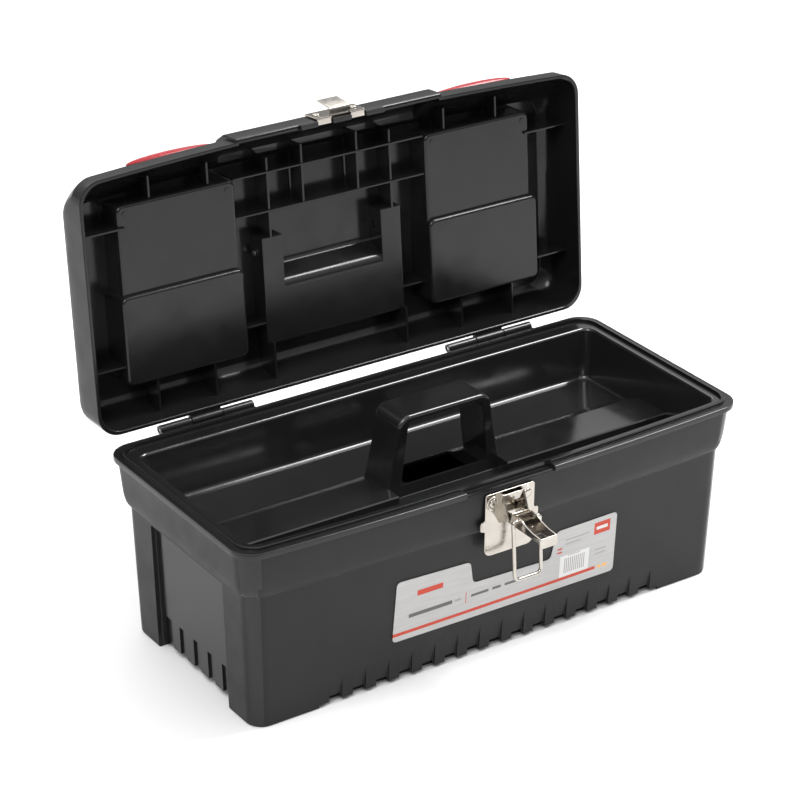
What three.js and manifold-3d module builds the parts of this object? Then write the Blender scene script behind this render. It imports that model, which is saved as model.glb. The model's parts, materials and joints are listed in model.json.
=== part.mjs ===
// Carpenter toolbox: tapered tub, lift-out tray, lid with two organisers, toggle latch.
// Millimetres. X runs along the length, -Y is the front, +Y the hinge side, +Z up.
// The origin is the middle of the tub's underside. The lid is drawn closed, then opened.
import * as THREE from 'three';
import { mergeVertices } from 'three/addons/utils/BufferGeometryUtils.js';
import Module from 'manifold-3d';

const wasm = await Module();
wasm.setup();

// ---- driving dimensions ----
const HALF_LENGTH = 198; // outer lip, half of the overall length
const BACK = 89; // outer lip to the origin, hinge side
const FRONT = 85.5; // outer lip to the origin, front corners
const FRONT_BOW = 5; // how far the middle of the front swells out
const CORNER = 16; // lip corner radius
const RIM = 131.7; // top of the lip
const LIP = 4; // lip height
const WALL = 2.8; // tub wall
const COLLAR = 96.8; // underside of the collar
const BASE_INSET = 11.8; // tub foot, in from the lip
const FIT = 0.3; // running gap between neighbours
const PARTING = RIM + FIT; // lid edge when closed
const OPEN_ANGLE = 95.3; // lid opening, degrees
const HINGE_Y = 93.2;
const HINGE_Z = RIM + 0.15;
const KNUCKLE_R = 3.1;
const HINGE_PIN_R = 1.2;
const HINGE_X = [-118.5, 114]; // hinge centres
const HINGE_LENGTH = 72;
const LID_DEPTH = 36.5; // lid edge to the top panel
const LID_WALL = 2.6;
const PANEL = 2.6; // lid top panel
const TRAY_TOP = 131.4;
const TRAY_FLOOR = 95.5;
const PLATFORM_Z = 103.9; // raised strip of the tray floor that carries the handle
const HANDLE_TOP = 153.9;
const POCKET_X = [75, 168]; // organiser pocket, from the middle outwards
const POCKET_Y = [-60, 63];
const POCKET_STEP = 1.1; // the front half is shallower from here
const WELL_X = 56; // half-length of the carry-handle well
const PIVOT_Y = -1; // carry-handle pivot
const PIVOT_D = 28; // and its depth above the lid edge
const PLATE_Y = -89.2; // outer face of the latch plate
const LEVER_PIVOT = [-95.5, 109.4]; // y, z
const BAIL_PIVOT = [-107, 110.9]; // y, z
const BAIL_FOOT = [-110.6, 70.4]; // y, z of the cross wire
const WIRE_R = 1.3;
const BOSS_FRONT = -92; // face of the lid's front boss

const ARC_STEPS = 5;
const BOW_STEPS = 8;
const FAR = 400; // longer than the toolbox, for cutters

// ---- solids ----
function solid(geometry) {
  const bare = geometry.clone();
  bare.deleteAttribute('normal');
  bare.deleteAttribute('uv');
  const merged = mergeVertices(bare, 1e-4);
  const vertProperties = new Float32Array(merged.attributes.position.array);
  const triVerts = new Uint32Array(merged.index.array);
  return new wasm.Manifold(new wasm.Mesh({ numProp: 3, vertProperties, triVerts }));
}

function box([x0, x1], [y0, y1], [z0, z1]) {
  const geometry = new THREE.BoxGeometry(x1 - x0, y1 - y0, z1 - z0);
  geometry.translate((x0 + x1) / 2, (y0 + y1) / 2, (z0 + z1) / 2);
  return solid(geometry);
}

// A round bar along X.
function barX([x0, x1], [y, z], radius, sides = 16) {
  const geometry = new THREE.CylinderGeometry(radius, radius, x1 - x0, sides);
  geometry.rotateZ(Math.PI / 2);
  geometry.translate((x0 + x1) / 2, y, z);
  return solid(geometry);
}

// A round bar along Y.
function barY(x, [y0, y1], z, radius, sides = 14) {
  const geometry = new THREE.CylinderGeometry(radius, radius, y1 - y0, sides);
  geometry.translate(x, (y0 + y1) / 2, z);
  return solid(geometry);
}

// An outline in the Y-Z plane, drawn out along X.
function profileX([x0, x1], points) {
  const shape = new THREE.Shape(points.map(([y, z]) => new THREE.Vector2(y, z)));
  const geometry = new THREE.ExtrudeGeometry(shape, { depth: x1 - x0, bevelEnabled: false });
  geometry.rotateX(Math.PI / 2);
  geometry.rotateZ(Math.PI / 2);
  geometry.translate(x0, 0, 0);
  return solid(geometry);
}

// An outline in the X-Z plane, drawn out along Y.
function profileY(shape, [y0, y1], steps = 4) {
  const settings = { depth: y1 - y0, bevelEnabled: false, curveSegments: steps };
  const geometry = new THREE.ExtrudeGeometry(shape, settings);
  geometry.rotateX(Math.PI / 2);
  geometry.translate(0, y1, 0);
  return solid(geometry);
}

// A rounded rectangle whose front side swells outwards.
function outline({ length, back, front, radius, bow = 0 }) {
  const left = new THREE.Vector2(radius - length, -front);
  const right = new THREE.Vector2(length - radius, -front);
  const swell = new THREE.Vector2(0, -front - 2 * bow);
  const side = new THREE.QuadraticBezierCurve(left, swell, right).getPoints(BOW_STEPS);
  const corner = (x, y, start) =>
    new THREE.EllipseCurve(x, y, radius, radius, start, start + Math.PI / 2).getPoints(ARC_STEPS);
  return [
    ...side.slice(1, -1),
    ...corner(length - radius, radius - front, -Math.PI / 2),
    ...corner(length - radius, back - radius, 0),
    ...corner(radius - length, back - radius, Math.PI / 2),
    ...corner(radius - length, radius - front, Math.PI),
  ];
}

// A solid through level outlines, from the lowest up.
function loft(levels) {
  const rings = levels.map((level) => outline(level));
  const count = rings[0].length;
  const vertices = rings.flatMap((ring, i) => ring.flatMap((p) => [p.x, p.y, levels[i].z]));
  const faces = [];
  for (let i = 0; i + 1 < rings.length; i += 1) {
    for (let j = 0; j < count; j += 1) {
      const a = i * count + j;
      const b = i * count + ((j + 1) % count);
      faces.push(a, b, b + count, a, b + count, a + count);
    }
  }
  const top = (rings.length - 1) * count;
  for (const [a, b, c] of THREE.ShapeUtils.triangulateShape(rings[0], [])) faces.push(a, c, b);
  for (const [a, b, c] of THREE.ShapeUtils.triangulateShape(rings[rings.length - 1], [])) {
    faces.push(top + a, top + b, top + c);
  }
  const geometry = new THREE.BufferGeometry();
  geometry.setAttribute('position', new THREE.Float32BufferAttribute(vertices, 3));
  geometry.setIndex(faces);
  return solid(geometry);
}

// The lip outline moved in by inset, at height z.
function lipLevel(z, inset, bow = FRONT_BOW, frontInset = inset) {
  return {
    z,
    length: HALF_LENGTH - inset,
    back: BACK - inset,
    front: FRONT - frontInset,
    radius: Math.max(3, CORNER - inset * 0.35),
    bow,
  };
}

function union(parts) {
  return parts.reduce((sum, part) => sum.add(part));
}

function without(part, cutters) {
  return cutters.reduce((rest, cutter) => rest.subtract(cutter), part);
}

// ---- body ----
const FLUTE_COUNT = 15;
const FLUTE_PITCH = 18;
const FLUTE_HEIGHT = 27;
const FLUTE_HALF = 5; // half-width of one recess
const FLUTE_FACE = 75.1; // floor of the recesses at their foot
const FLUTE_FOOT = 6; // below this the recesses are open underneath
const SILL_HALF = 138.5; // the raised underside between the feet
const SILL_FOOT = 2.8;
const SILL_BACK = 70;
const FLUTE_BACKING = 71; // inner face of the wall behind the recesses
const NOTCH_HALF = 35; // rim notch for the lid's front tongue
const PANEL_Y = 45; // half-width of the sunk panel on each end
const PANEL_FOOT_X = 182.2; // sunk panel at the foot and just under the collar
const PANEL_HEAD_X = 185.8;
const PANEL_HEAD_Z = 91;
const ARCH_X = 165; // the end arches under the floor start here
const ARCH_Z = 5;
const SLOT_WIDTH = 8.4;
const SLOT_DEPTH = 1.4;
const LATCH_RIVET_X = 13.5;
const LATCH_RIVET_Z = 117.9;
const WALL_UNDER_COLLAR = lipLevel(COLLAR - 0.8, 8.5, 4, 6.9);
const FOOT = lipLevel(0, BASE_INSET, 0, FRONT - 77.1);

function shrink(level, z, by) {
  return {
    ...level,
    z,
    length: level.length - by,
    back: level.back - by,
    front: level.front - by,
    radius: Math.max(3, level.radius - by),
  };
}

function bodyOutside(grow = 0) {
  return loft([
    shrink(FOOT, -grow, -grow),
    shrink(WALL_UNDER_COLLAR, WALL_UNDER_COLLAR.z, -grow),
    lipLevel(COLLAR, 6.9 - grow),
    lipLevel(COLLAR + 2.2, 5.7 - grow),
    lipLevel(COLLAR + 7, 4.7 - grow),
    lipLevel(RIM - 16, 3.6 - grow),
    lipLevel(RIM - LIP, 2.4 - grow, FRONT_BOW, 3 - grow),
  ]);
}

function knuckles(firstX, length, webZ) {
  return union([
    barX([firstX, firstX + length], [HINGE_Y, HINGE_Z], KNUCKLE_R),
    box([firstX, firstX + length], [BACK - 1, HINGE_Y], webZ),
  ]);
}

function bodyHinges() {
  const third = HINGE_LENGTH / 3;
  return HINGE_X.flatMap((x) => {
    const webZ = [HINGE_Z - KNUCKLE_R, RIM];
    return [
      knuckles(x - HINGE_LENGTH / 2, third - FIT, webZ),
      knuckles(x + third / 2 + FIT, third - FIT, webZ),
    ];
  });
}

function hingeBores() {
  return HINGE_X.map((x) => barX([x - FAR, x + FAR], [HINGE_Y, HINGE_Z], HINGE_PIN_R + FIT));
}

// The rows of recesses along the foot of the front and back, and the raised sill below them.
function flutes() {
  const cutters = [];
  for (const side of [-1, 1]) {
    const recess = [
      [side * FLUTE_FACE, -1],
      [side * FLUTE_FACE, SILL_FOOT],
      [side * 79, FLUTE_HEIGHT],
      [side * 90, FLUTE_HEIGHT],
      [side * 90, -1],
    ];
    const reach = side < 0 ? [-FAR, -SILL_BACK] : [SILL_BACK, FAR];
    for (let i = 0; i < FLUTE_COUNT; i += 1) {
      const x = (i - (FLUTE_COUNT - 1) / 2) * FLUTE_PITCH;
      const width = [x - FLUTE_HALF, x + FLUTE_HALF];
      cutters.push(profileX(width, recess), box(width, reach, [-1, FLUTE_FOOT]));
    }
    cutters.push(box([-SILL_HALF, SILL_HALF], reach, [-1, SILL_FOOT]));
  }
  return cutters;
}

// Room the hollow leaves behind the recesses and over the raised sill.
function fluteBacking() {
  const reach = SILL_HALF + WALL;
  return [-1, 1].flatMap((side) => {
    const beyond = (y) => (side < 0 ? [-FAR, -y] : [y, FAR]);
    return [
      box([-reach, reach], beyond(FLUTE_BACKING), [-1, FLUTE_HEIGHT]),
      box([-reach, reach], beyond(SILL_BACK - WALL), [-1, FLUTE_FOOT + WALL]),
    ];
  });
}

function mirrored(side, [inner, outer]) {
  return side < 0 ? [-outer, -inner] : [inner, outer];
}

// Everything beyond the sunk face of one end, set back by depth.
function beyondPanel(side, depth, halfWidth, head) {
  const shape = new THREE.Shape([
    new THREE.Vector2(side * (PANEL_FOOT_X - depth), -1),
    new THREE.Vector2(side * (PANEL_HEAD_X - depth), head),
    new THREE.Vector2(side * (PANEL_HEAD_X + 6), head + 4),
    new THREE.Vector2(side * FAR, head + 4),
    new THREE.Vector2(side * FAR, -1),
  ]);
  return profileY(shape, [-halfWidth, halfWidth]);
}

function endPanels() {
  return [-1, 1].flatMap((side) => {
    const arch = box(mirrored(side, [ARCH_X, FAR]), [-PANEL_Y, PANEL_Y], [-1, ARCH_Z]);
    const slots = [-2, -1, 0, 1, 2].map((i) => {
      const reach = [i * FLUTE_PITCH - SLOT_WIDTH / 2, i * FLUTE_PITCH + SLOT_WIDTH / 2];
      const strip = box(mirrored(side, [100, FAR]), reach, [-1, FLUTE_HEIGHT]);
      return strip.intersect(beyondPanel(side, SLOT_DEPTH, PANEL_Y, PANEL_HEAD_Z));
    });
    return [beyondPanel(side, 0, PANEL_Y, PANEL_HEAD_Z), arch, ...slots];
  });
}

// Room the hollow leaves behind the sunk panels and over the arches.
function endBacking() {
  return [-1, 1].flatMap((side) => [
    beyondPanel(side, WALL, PANEL_Y + WALL, PANEL_HEAD_Z + 1),
    box(
      mirrored(side, [ARCH_X - WALL, FAR]),
      [-PANEL_Y - WALL, PANEL_Y + WALL],
      [-1, ARCH_Z + WALL],
    ),
  ]);
}

function latchRivetHoles(radius) {
  return [-1, 1].map((s) => barY(s * LATCH_RIVET_X, [-120, -70], LATCH_RIVET_Z, radius));
}

function bodyShell() {
  const rib = loft([lipLevel(RIM - 1, 5), lipLevel(RIM + 1.8, 5)]);
  const outside = union([
    bodyOutside(),
    loft([lipLevel(RIM - LIP, 0), lipLevel(RIM, 0)]),
    rib,
    ...bodyHinges(),
  ]);
  const hollow = loft([
    shrink(FOOT, WALL, WALL + 0.3),
    shrink(WALL_UNDER_COLLAR, WALL_UNDER_COLLAR.z - 0.5, WALL),
    lipLevel(COLLAR + 5.7, 9.4),
    lipLevel(RIM - 2.6, 9.8),
  ]);
  const inside = without(hollow, [...endBacking(), ...fluteBacking()]);
  const traySeat = loft([lipLevel(RIM - 2.7, 7), lipLevel(RIM + 3, 7)]);
  const notch = [
    box([-NOTCH_HALF, NOTCH_HALF], [-FAR, -84], [RIM - 2.6, RIM + 5]),
    box([-NOTCH_HALF, NOTCH_HALF], [-FAR, -87.6], [RIM - LIP - 0.1, RIM + 5]),
  ];
  const cuts = [inside, traySeat, ...notch, ...flutes(), ...endPanels()];
  return without(outside, [...cuts, ...latchRivetHoles(1.6 + FIT), ...hingeBores()]);
}

function hingePin(x) {
  const half = HINGE_LENGTH / 2 - 0.5;
  return barX([x - half, x + half], [HINGE_Y, HINGE_Z], HINGE_PIN_R);
}

// ---- tray ----
const TRAY_LEG_FOOT = 45.5; // half-length of the handle at its foot
const TRAY_LEG_TOP = 36;
const TRAY_HANDLE_Y = [-16, 13];
const PLATFORM_FRONT = -27;

function trayOutline(z, length, back, front, radius) {
  return { z, length, back, front, radius, bow: FRONT_BOW };
}

function trayTub() {
  const outer = loft([
    trayOutline(TRAY_FLOOR - 2, 180.6, 65.4, 68.2, 7),
    trayOutline(TRAY_TOP - 1.6, 186.6, 71.4, 74.2, 7),
  ]);
  const flange = loft([
    lipLevel(TRAY_TOP - 1.6, 7 + FIT),
    lipLevel(TRAY_TOP, 7 + FIT),
  ]);
  const inner = loft([
    trayOutline(TRAY_FLOOR, 178.4, 63.2, 66, 5),
    trayOutline(TRAY_TOP + 1, 184.5, 69.2, 72.1, 5),
  ]);
  return { outer, flange, inner };
}

// Raised strip along the floor: upright at the front, ramped at the back.
function trayPlatform(inner) {
  const ramp = [
    [PLATFORM_FRONT, TRAY_FLOOR - 0.5],
    [24, TRAY_FLOOR - 0.5],
    [16, TRAY_FLOOR + 2],
    [9, PLATFORM_Z - 2],
    [4, PLATFORM_Z],
    [PLATFORM_FRONT, PLATFORM_Z],
  ];
  return profileX([-190, 190], ramp).intersect(inner.translate(0, 0, -0.2));
}

function archShape(foot, top, z0, z1, round) {
  const shape = new THREE.Shape();
  shape.moveTo(-foot, z0);
  shape.lineTo(foot, z0);
  shape.lineTo(top + round * 0.15, z1 - round);
  shape.quadraticCurveTo(top, z1, top - round, z1);
  shape.lineTo(round - top, z1);
  shape.quadraticCurveTo(-top, z1, -top - round * 0.15, z1 - round);
  shape.lineTo(-foot, z0);
  return shape;
}

function trayArch() {
  const outer = profileY(
    archShape(TRAY_LEG_FOOT, TRAY_LEG_TOP, TRAY_FLOOR, HANDLE_TOP, 6),
    TRAY_HANDLE_Y,
  );
  const opening = profileY(archShape(37, 29, TRAY_FLOOR - 9, HANDLE_TOP - 4, 4), [-FAR, FAR]);
  return outer.subtract(opening);
}

function tray() {
  const { outer, flange, inner } = trayTub();
  const tub = outer.add(flange).subtract(inner);
  const fingerHole = box([-30, 30], [-14, 22], [TRAY_FLOOR - 9, PLATFORM_Z + 5]);
  const recess = box([-44, 44], [PLATFORM_FRONT - 5, -16], [TRAY_FLOOR, PLATFORM_Z + 5]);
  const floor = tub.add(trayPlatform(inner)).subtract(fingerHole).subtract(recess);
  return floor.add(trayArch());
}

// ---- lid, drawn closed ----
const DEPTH = (d) => PARTING + d; // height of a point d above the lid edge
const CHANNEL_X = [39.6, WELL_X]; // arm channels of the handle well
const EAR_Y = -13.5;
const WELL_BACK = 62.6;
const WELL_FRONT = 21.1;
const WELL_DEPTH = 18.6; // lid edge to the floor of the well
const CATCH_TABS = [[-19.4, -8], [7, 18.4]]; // tabs folded over the lid edge
const CATCH_RIVET_X = 14.5;
const CATCH_RIVET_D = 8;

function lidSkin(grow = 0) {
  return loft([
    lipLevel(DEPTH(0), -grow),
    lipLevel(DEPTH(12), 0.5 - grow),
    lipLevel(DEPTH(20), 0.5 - grow, 4.6, 5.5 - grow),
    lipLevel(DEPTH(26), 1.2 - grow, 4.2, 10.5 - grow),
    lipLevel(DEPTH(31), 3.2 - grow, 4, 14.8 - grow),
    lipLevel(DEPTH(34.6 + grow / 2), 7 - grow, 3.8, 18.6 - grow),
    lipLevel(DEPTH(LID_DEPTH + grow), 12.5 - grow, 3.6, 23.5 - grow),
  ]);
}

function lidOutside() {
  return lidSkin().add(frontBoss());
}

function frontBoss() {
  const side = [
    [-80, DEPTH(0)],
    [BOSS_FRONT, DEPTH(0)],
    [BOSS_FRONT, DEPTH(15)],
    [-86, DEPTH(26)],
    [-76, DEPTH(33)],
    [-60, DEPTH(LID_DEPTH)],
    [-60, DEPTH(0)],
  ];
  return profileX([-82, 82], side);
}

function lidInside() {
  const hollow = loft([
    lipLevel(DEPTH(-1), LID_WALL),
    lipLevel(DEPTH(12), LID_WALL + 0.5),
    lipLevel(DEPTH(20), LID_WALL + 1.2, 4.6, LID_WALL + 5.8),
    lipLevel(DEPTH(26), LID_WALL + 2.4, 4.2, LID_WALL + 11.2),
    lipLevel(DEPTH(31), LID_WALL + 6, 4, LID_WALL + 17),
    lipLevel(DEPTH(LID_DEPTH - PANEL), LID_WALL + 11, 3.8, LID_WALL + 22),
  ]);
  const bossHollow = profileX([-79.4, 79.4], [
    [-70, DEPTH(-1)],
    [BOSS_FRONT + 3.4, DEPTH(-1)],
    [BOSS_FRONT + 3.4, DEPTH(14)],
    [-83.5, DEPTH(24)],
    [-74, DEPTH(30.5)],
    [-70, DEPTH(31)],
  ]);
  return hollow.add(bossHollow);
}

// Tongue that drops into the rim notch below the catch.
function frontTongue() {
  const half = NOTCH_HALF - 2;
  const tongue = box([-half, half], [BOSS_FRONT, BOSS_FRONT + 3.4], [DEPTH(-3), DEPTH(1)]);
  const room = CATCH_TABS.map(([x0, x1]) => box([x0 - FIT, x1 + FIT], [-FAR, FAR], [DEPTH(-9), DEPTH(0)]));
  return without(tongue, room);
}

// A block hanging from the top panel, slimmer at its free face.
function hangingBlock(side, [x0, x1], [y0, y1], depth, draft) {
  const level = (d, grow) => ({
    z: DEPTH(d),
    length: (x1 - x0) / 2 + grow,
    back: (y1 - y0) / 2 + grow,
    front: (y1 - y0) / 2 + grow,
    radius: 5,
  });
  const block = loft([level(depth, -1.6), level(depth + 0.8, -0.5), level(depth + 2, 0), level(35, draft)]);
  return block.translate((side * (x0 + x1)) / 2, (y0 + y1) / 2, 0);
}

function pocketBlock(side) {
  const deep = hangingBlock(side, POCKET_X, [POCKET_STEP, POCKET_Y[1]], 11, 1);
  const shallow = hangingBlock(side, [76, 165], [POCKET_Y[0], POCKET_STEP + 8], 15, 0.5);
  return deep.add(shallow);
}

function pocketHollow(side) {
  return union([
    box(mirrored(side, [79, 163]), [POCKET_STEP + 2.9, 59], [DEPTH(13.2), DEPTH(60)]),
    box(mirrored(side, [79, 161]), [-57, POCKET_STEP + 4], [DEPTH(17.2), DEPTH(60)]),
  ]);
}

function handleWell() {
  const channels = [-1, 1].map((s) => {
    const x = s < 0 ? [-CHANNEL_X[1], -CHANNEL_X[0]] : CHANNEL_X;
    return box(x, [EAR_Y, WELL_FRONT + 1], [DEPTH(WELL_DEPTH), DEPTH(35)]);
  });
  const block = profileX([-WELL_X, WELL_X], [
    [WELL_FRONT, DEPTH(WELL_DEPTH)],
    [WELL_BACK, DEPTH(WELL_DEPTH)],
    [WELL_BACK, DEPTH(35)],
    [WELL_FRONT - 10.6, DEPTH(35)],
  ]);
  return union([block, ...channels]);
}

function handleWellHollow() {
  const channels = [-1, 1].map((s) => {
    const x = s < 0 ? [-(WELL_X - 2.5), -(CHANNEL_X[0] + 2.4)] : [CHANNEL_X[0] + 2.4, WELL_X - 2.5];
    return box(x, [EAR_Y + 2.4, WELL_BACK - 10], [DEPTH(21), DEPTH(60)]);
  });
  const half = WELL_X - 2.5;
  return union([
    profileX([-half, half], [
      [WELL_FRONT + 1.3, DEPTH(21)],
      [WELL_BACK - 2.5, DEPTH(21)],
      [WELL_BACK - 2.5, DEPTH(60)],
      [WELL_FRONT - 9, DEPTH(60)],
      [WELL_FRONT - 9, DEPTH(37)],
    ]),
    ...channels,
  ]);
}

function lidRibs() {
  const thin = 0.8;
  const across = [-58.9, -31.9].map((y) =>
    box([-POCKET_X[0] - 1, POCKET_X[0] + 1], [y - thin, y + thin], [DEPTH(17), DEPTH(34.5)]),
  );
  const along = [-49, 49].map((x) =>
    box([x - thin, x + thin], [-68.9, EAR_Y + 1], [DEPTH(18), DEPTH(34.5)]),
  );
  const short = [-22, 22].map((x) =>
    box([x - thin, x + thin], [-73, -31.9], [DEPTH(17.5), DEPTH(32)]),
  );
  return [...across, ...along, ...short];
}

// Thin webs from the pockets and the well to the side walls.
function lidGussets() {
  const thin = 0.8;
  const webs = [];
  for (const s of [-1, 1]) {
    for (const y of [-45, 49]) {
      const x = s < 0 ? [-195.8, -160] : [160, 195.8];
      webs.push(box(x, [y - thin, y + thin], [DEPTH(13), DEPTH(34.5)]));
    }
    for (const x of [101, 145]) {
      webs.push(box([s * x - thin, s * x + thin], [60, 87], [DEPTH(13), DEPTH(34.5)]));
    }
    for (const x of [94.5, 138.5]) {
      webs.push(box([s * x - thin, s * x + thin], [-75, -58], [DEPTH(18), DEPTH(32)]));
    }
    webs.push(box([s * 54 - thin, s * 54 + thin], [60, 87], [DEPTH(13), DEPTH(34.5)]));
    const inward = s < 0 ? [-77, -54] : [54, 77];
    webs.push(box(inward, [47 - thin, 47 + thin], [DEPTH(19), DEPTH(34.5)]));
  }
  return webs;
}

function lidKnuckles() {
  const third = HINGE_LENGTH / 3;
  return HINGE_X.map((x) => knuckles(x - third / 2 + FIT, third - 2 * FIT, [PARTING, HINGE_Z + 3]));
}

function lidShell() {
  const outside = lidOutside();
  const shell = outside.subtract(lidInside());
  const extras = union([
    pocketBlock(-1),
    pocketBlock(1),
    handleWell(),
    ...lidRibs(),
    ...lidGussets(),
  ]).intersect(outside);
  const ears = [...coverEars(-1), ...coverEars(1)];
  const full = union([shell, extras, frontTongue(), ...lidKnuckles(), ...ears]);
  const pin = barX([-WELL_X - 4, WELL_X + 4], [PIVOT_Y, DEPTH(PIVOT_D)], 2 + FIT);
  const rivets = [-1, 1].map((s) => barY(s * CATCH_RIVET_X, [-120, -80], DEPTH(CATCH_RIVET_D), 1.8));
  const coverBore = barX([-FAR, FAR], COVER_HINGE, COVER_STUB_R + FIT);
  return without(full, [
    coverBore,
    pocketHollow(-1),
    pocketHollow(1),
    handleWellHollow(),
    pin,
    ...rivets,
    ...hingeBores(),
  ]);
}

// ---- organiser covers ----
const COVER_X = [77, 167];
const COVER_THICK = 2.4;
const COVER_LOW = LID_DEPTH + FIT;
const COVER_HINGE = [66, DEPTH(COVER_LOW + COVER_THICK / 2)]; // y, z
const COVER_STUB_R = 1;
const SNAP_X = 119; // middle of the snap flap

function organiserCover(side) {
  const middle = side * SNAP_X;
  const [y, z] = COVER_HINGE;
  const level = [DEPTH(COVER_LOW), DEPTH(COVER_LOW + COVER_THICK)];
  const flap = profileX([middle - 26, middle + 26], [
    [-57, DEPTH(COVER_LOW)],
    [-57, DEPTH(COVER_LOW + COVER_THICK)],
    [-66.5, DEPTH(COVER_LOW + COVER_THICK)],
    [-72.4, DEPTH(36)],
    [-77, DEPTH(32)],
    [-81.2, DEPTH(26.8)],
    [-85.6, DEPTH(20.8)],
    [-86.2, DEPTH(18.6)],
    [-80, DEPTH(18)],
  ]);
  const dome = new THREE.SphereGeometry(1, 32, 8);
  dome.scale(34, 3.4, 3.8);
  dome.translate(middle, -84.6, DEPTH(19.5));
  const skin = union([box(mirrored(side, COVER_X), [-58, y], level), flap, solid(dome)]);
  const stub = barX(mirrored(side, [COVER_X[0] - 1.6, COVER_X[1] + 1.6]), [y, z], COVER_STUB_R);
  const roll = barX(mirrored(side, COVER_X), [y, z], COVER_THICK / 2);
  return union([skin.subtract(lidSkin(FIT)), roll, stub]);
}

// Ears on the lid that hold a cover's stub pins.
function coverEars(side) {
  const [y] = COVER_HINGE;
  return [
    box(mirrored(side, [COVER_X[0] - 2.6, COVER_X[0] - FIT]), [y - 2.6, y + 2.6], [DEPTH(34), DEPTH(40)]),
    box(mirrored(side, [COVER_X[1] + FIT, COVER_X[1] + 2.6]), [y - 2.6, y + 2.6], [DEPTH(34), DEPTH(40)]),
  ];
}

// ---- carry handle, folded flat in its well ----
const GRIP_Y = [38.5, 57.5];
const GRIP_D = [22, 36];
const ARM_X = [43.4, 52];

function carryHandle() {
  const grip = box([-ARM_X[1], ARM_X[1]], GRIP_Y, [DEPTH(GRIP_D[0]), DEPTH(GRIP_D[1])]);
  const arms = [-1, 1].map((s) => {
    const x = s < 0 ? [-ARM_X[1], -ARM_X[0]] : ARM_X;
    return union([
      box(x, [PIVOT_Y, GRIP_Y[0] + 1], [DEPTH(23.5), DEPTH(33)]),
      barX(x, [PIVOT_Y, DEPTH(PIVOT_D)], 5.4, 20),
    ]);
  });
  const bore = barX([-FAR, FAR], [PIVOT_Y, DEPTH(PIVOT_D)], 2 + FIT);
  return union([grip, ...arms]).subtract(bore);
}

function handlePin(side) {
  const x = side < 0 ? [-WELL_X - 1.5, -ARM_X[0]] : [ARM_X[0], WELL_X + 1.5];
  return barX(x, [PIVOT_Y, DEPTH(PIVOT_D)], 2);
}

// ---- latch ----
const PLATE_Z = [79.9, 124.9];
const PLATE_HALF = 19.5;
const TAB_Z = [99.4, 105.4]; // side tabs of the plate
const EAR_X = [7.4, 8.6];
const LEVER_HALF = 6.8;
const LEVER_TIP = -130;

// The plate's outline: rounded foot, a small tab on each side.
function plateShape() {
  const [low, high] = PLATE_Z;
  const tab = PLATE_HALF + 3.5;
  const shape = new THREE.Shape();
  shape.moveTo(5 - PLATE_HALF, low);
  shape.lineTo(PLATE_HALF - 5, low);
  shape.quadraticCurveTo(PLATE_HALF, low, PLATE_HALF, low + 5);
  shape.lineTo(PLATE_HALF, TAB_Z[0] - 1.5);
  shape.lineTo(tab, TAB_Z[0]);
  shape.lineTo(tab, TAB_Z[1]);
  shape.lineTo(PLATE_HALF, TAB_Z[1] + 1.5);
  shape.lineTo(PLATE_HALF, high);
  shape.lineTo(-PLATE_HALF, high);
  shape.lineTo(-PLATE_HALF, TAB_Z[1] + 1.5);
  shape.lineTo(-tab, TAB_Z[1]);
  shape.lineTo(-tab, TAB_Z[0]);
  shape.lineTo(-PLATE_HALF, TAB_Z[0] - 1.5);
  shape.lineTo(-PLATE_HALF, low + 5);
  shape.quadraticCurveTo(-PLATE_HALF, low, 5 - PLATE_HALF, low);
  return shape;
}

function latchPlate() {
  const plate = profileY(plateShape(), [PLATE_Y, PLATE_Y + 1.2]);
  const [y, z] = LEVER_PIVOT;
  const ear = [
    [PLATE_Y + 0.5, z - 7.5],
    [y, z - 3.4],
    [y - 2.6, z - 2],
    [y - 3.2, z + 0.6],
    [y - 2.2, z + 3],
    [-92.5, z + 14.5],
    [PLATE_Y + 0.5, z + 15.1],
  ];
  const ears = [-1, 1].map((s) => {
    const x = s < 0 ? [-EAR_X[1], -EAR_X[0]] : EAR_X;
    return profileX(x, ear);
  });
  const bridge = box([-EAR_X[1], EAR_X[1]], [-92.4, -91.2], [z + 8.5, z + 14.1]);
  const bore = barX([-20, 20], LEVER_PIVOT, 1.2 + FIT);
  return without(union([plate, ...ears, bridge]), [bore, ...latchRivetHoles(1.6 + FIT)]);
}

function latchRivet(side) {
  const x = side * LATCH_RIVET_X;
  return union([
    barY(x, [PLATE_Y - 1.3, PLATE_Y - FIT], LATCH_RIVET_Z, 3.1),
    barY(x, [PLATE_Y - 1, -79.6], LATCH_RIVET_Z, 1.6),
    barY(x, [-80.2, -79.2], LATCH_RIVET_Z, 2.8),
  ]);
}

function latchPivotPin() {
  return barX([-EAR_X[1] - 0.4, EAR_X[1] + 0.4], LEVER_PIVOT, 1.2);
}

function latchLever() {
  const [y, z] = LEVER_PIVOT;
  const side = [
    [y + 3, z - 3],
    [LEVER_TIP, z - 3.2],
    [LEVER_TIP, z - 0.6],
    [y - 20, z + 1.6],
    [BAIL_PIVOT[0] - 2.6, BAIL_PIVOT[1] + 2.6],
    [BAIL_PIVOT[0] + 2.6, BAIL_PIVOT[1] + 2.6],
    [y, z + 3],
    [y + 3, z + 1.6],
  ];
  const flanges = [-1, 1].map((s) => {
    const x = s < 0 ? [-LEVER_HALF, -LEVER_HALF + 1.2] : [LEVER_HALF - 1.2, LEVER_HALF];
    return profileX(x, side);
  });
  const web = box([-LEVER_HALF, LEVER_HALF], [LEVER_TIP, y + 1.5], [z - 4.2, z - 3]);
  const tip = box([-LEVER_HALF, LEVER_HALF], [LEVER_TIP - 1.2, LEVER_TIP], [z - 8, z - 0.6]);
  const bores = [
    barX([-20, 20], LEVER_PIVOT, 1.2 + FIT),
    barX([-20, 20], BAIL_PIVOT, WIRE_R + FIT),
  ];
  return without(union([...flanges, web, tip]), bores);
}

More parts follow.
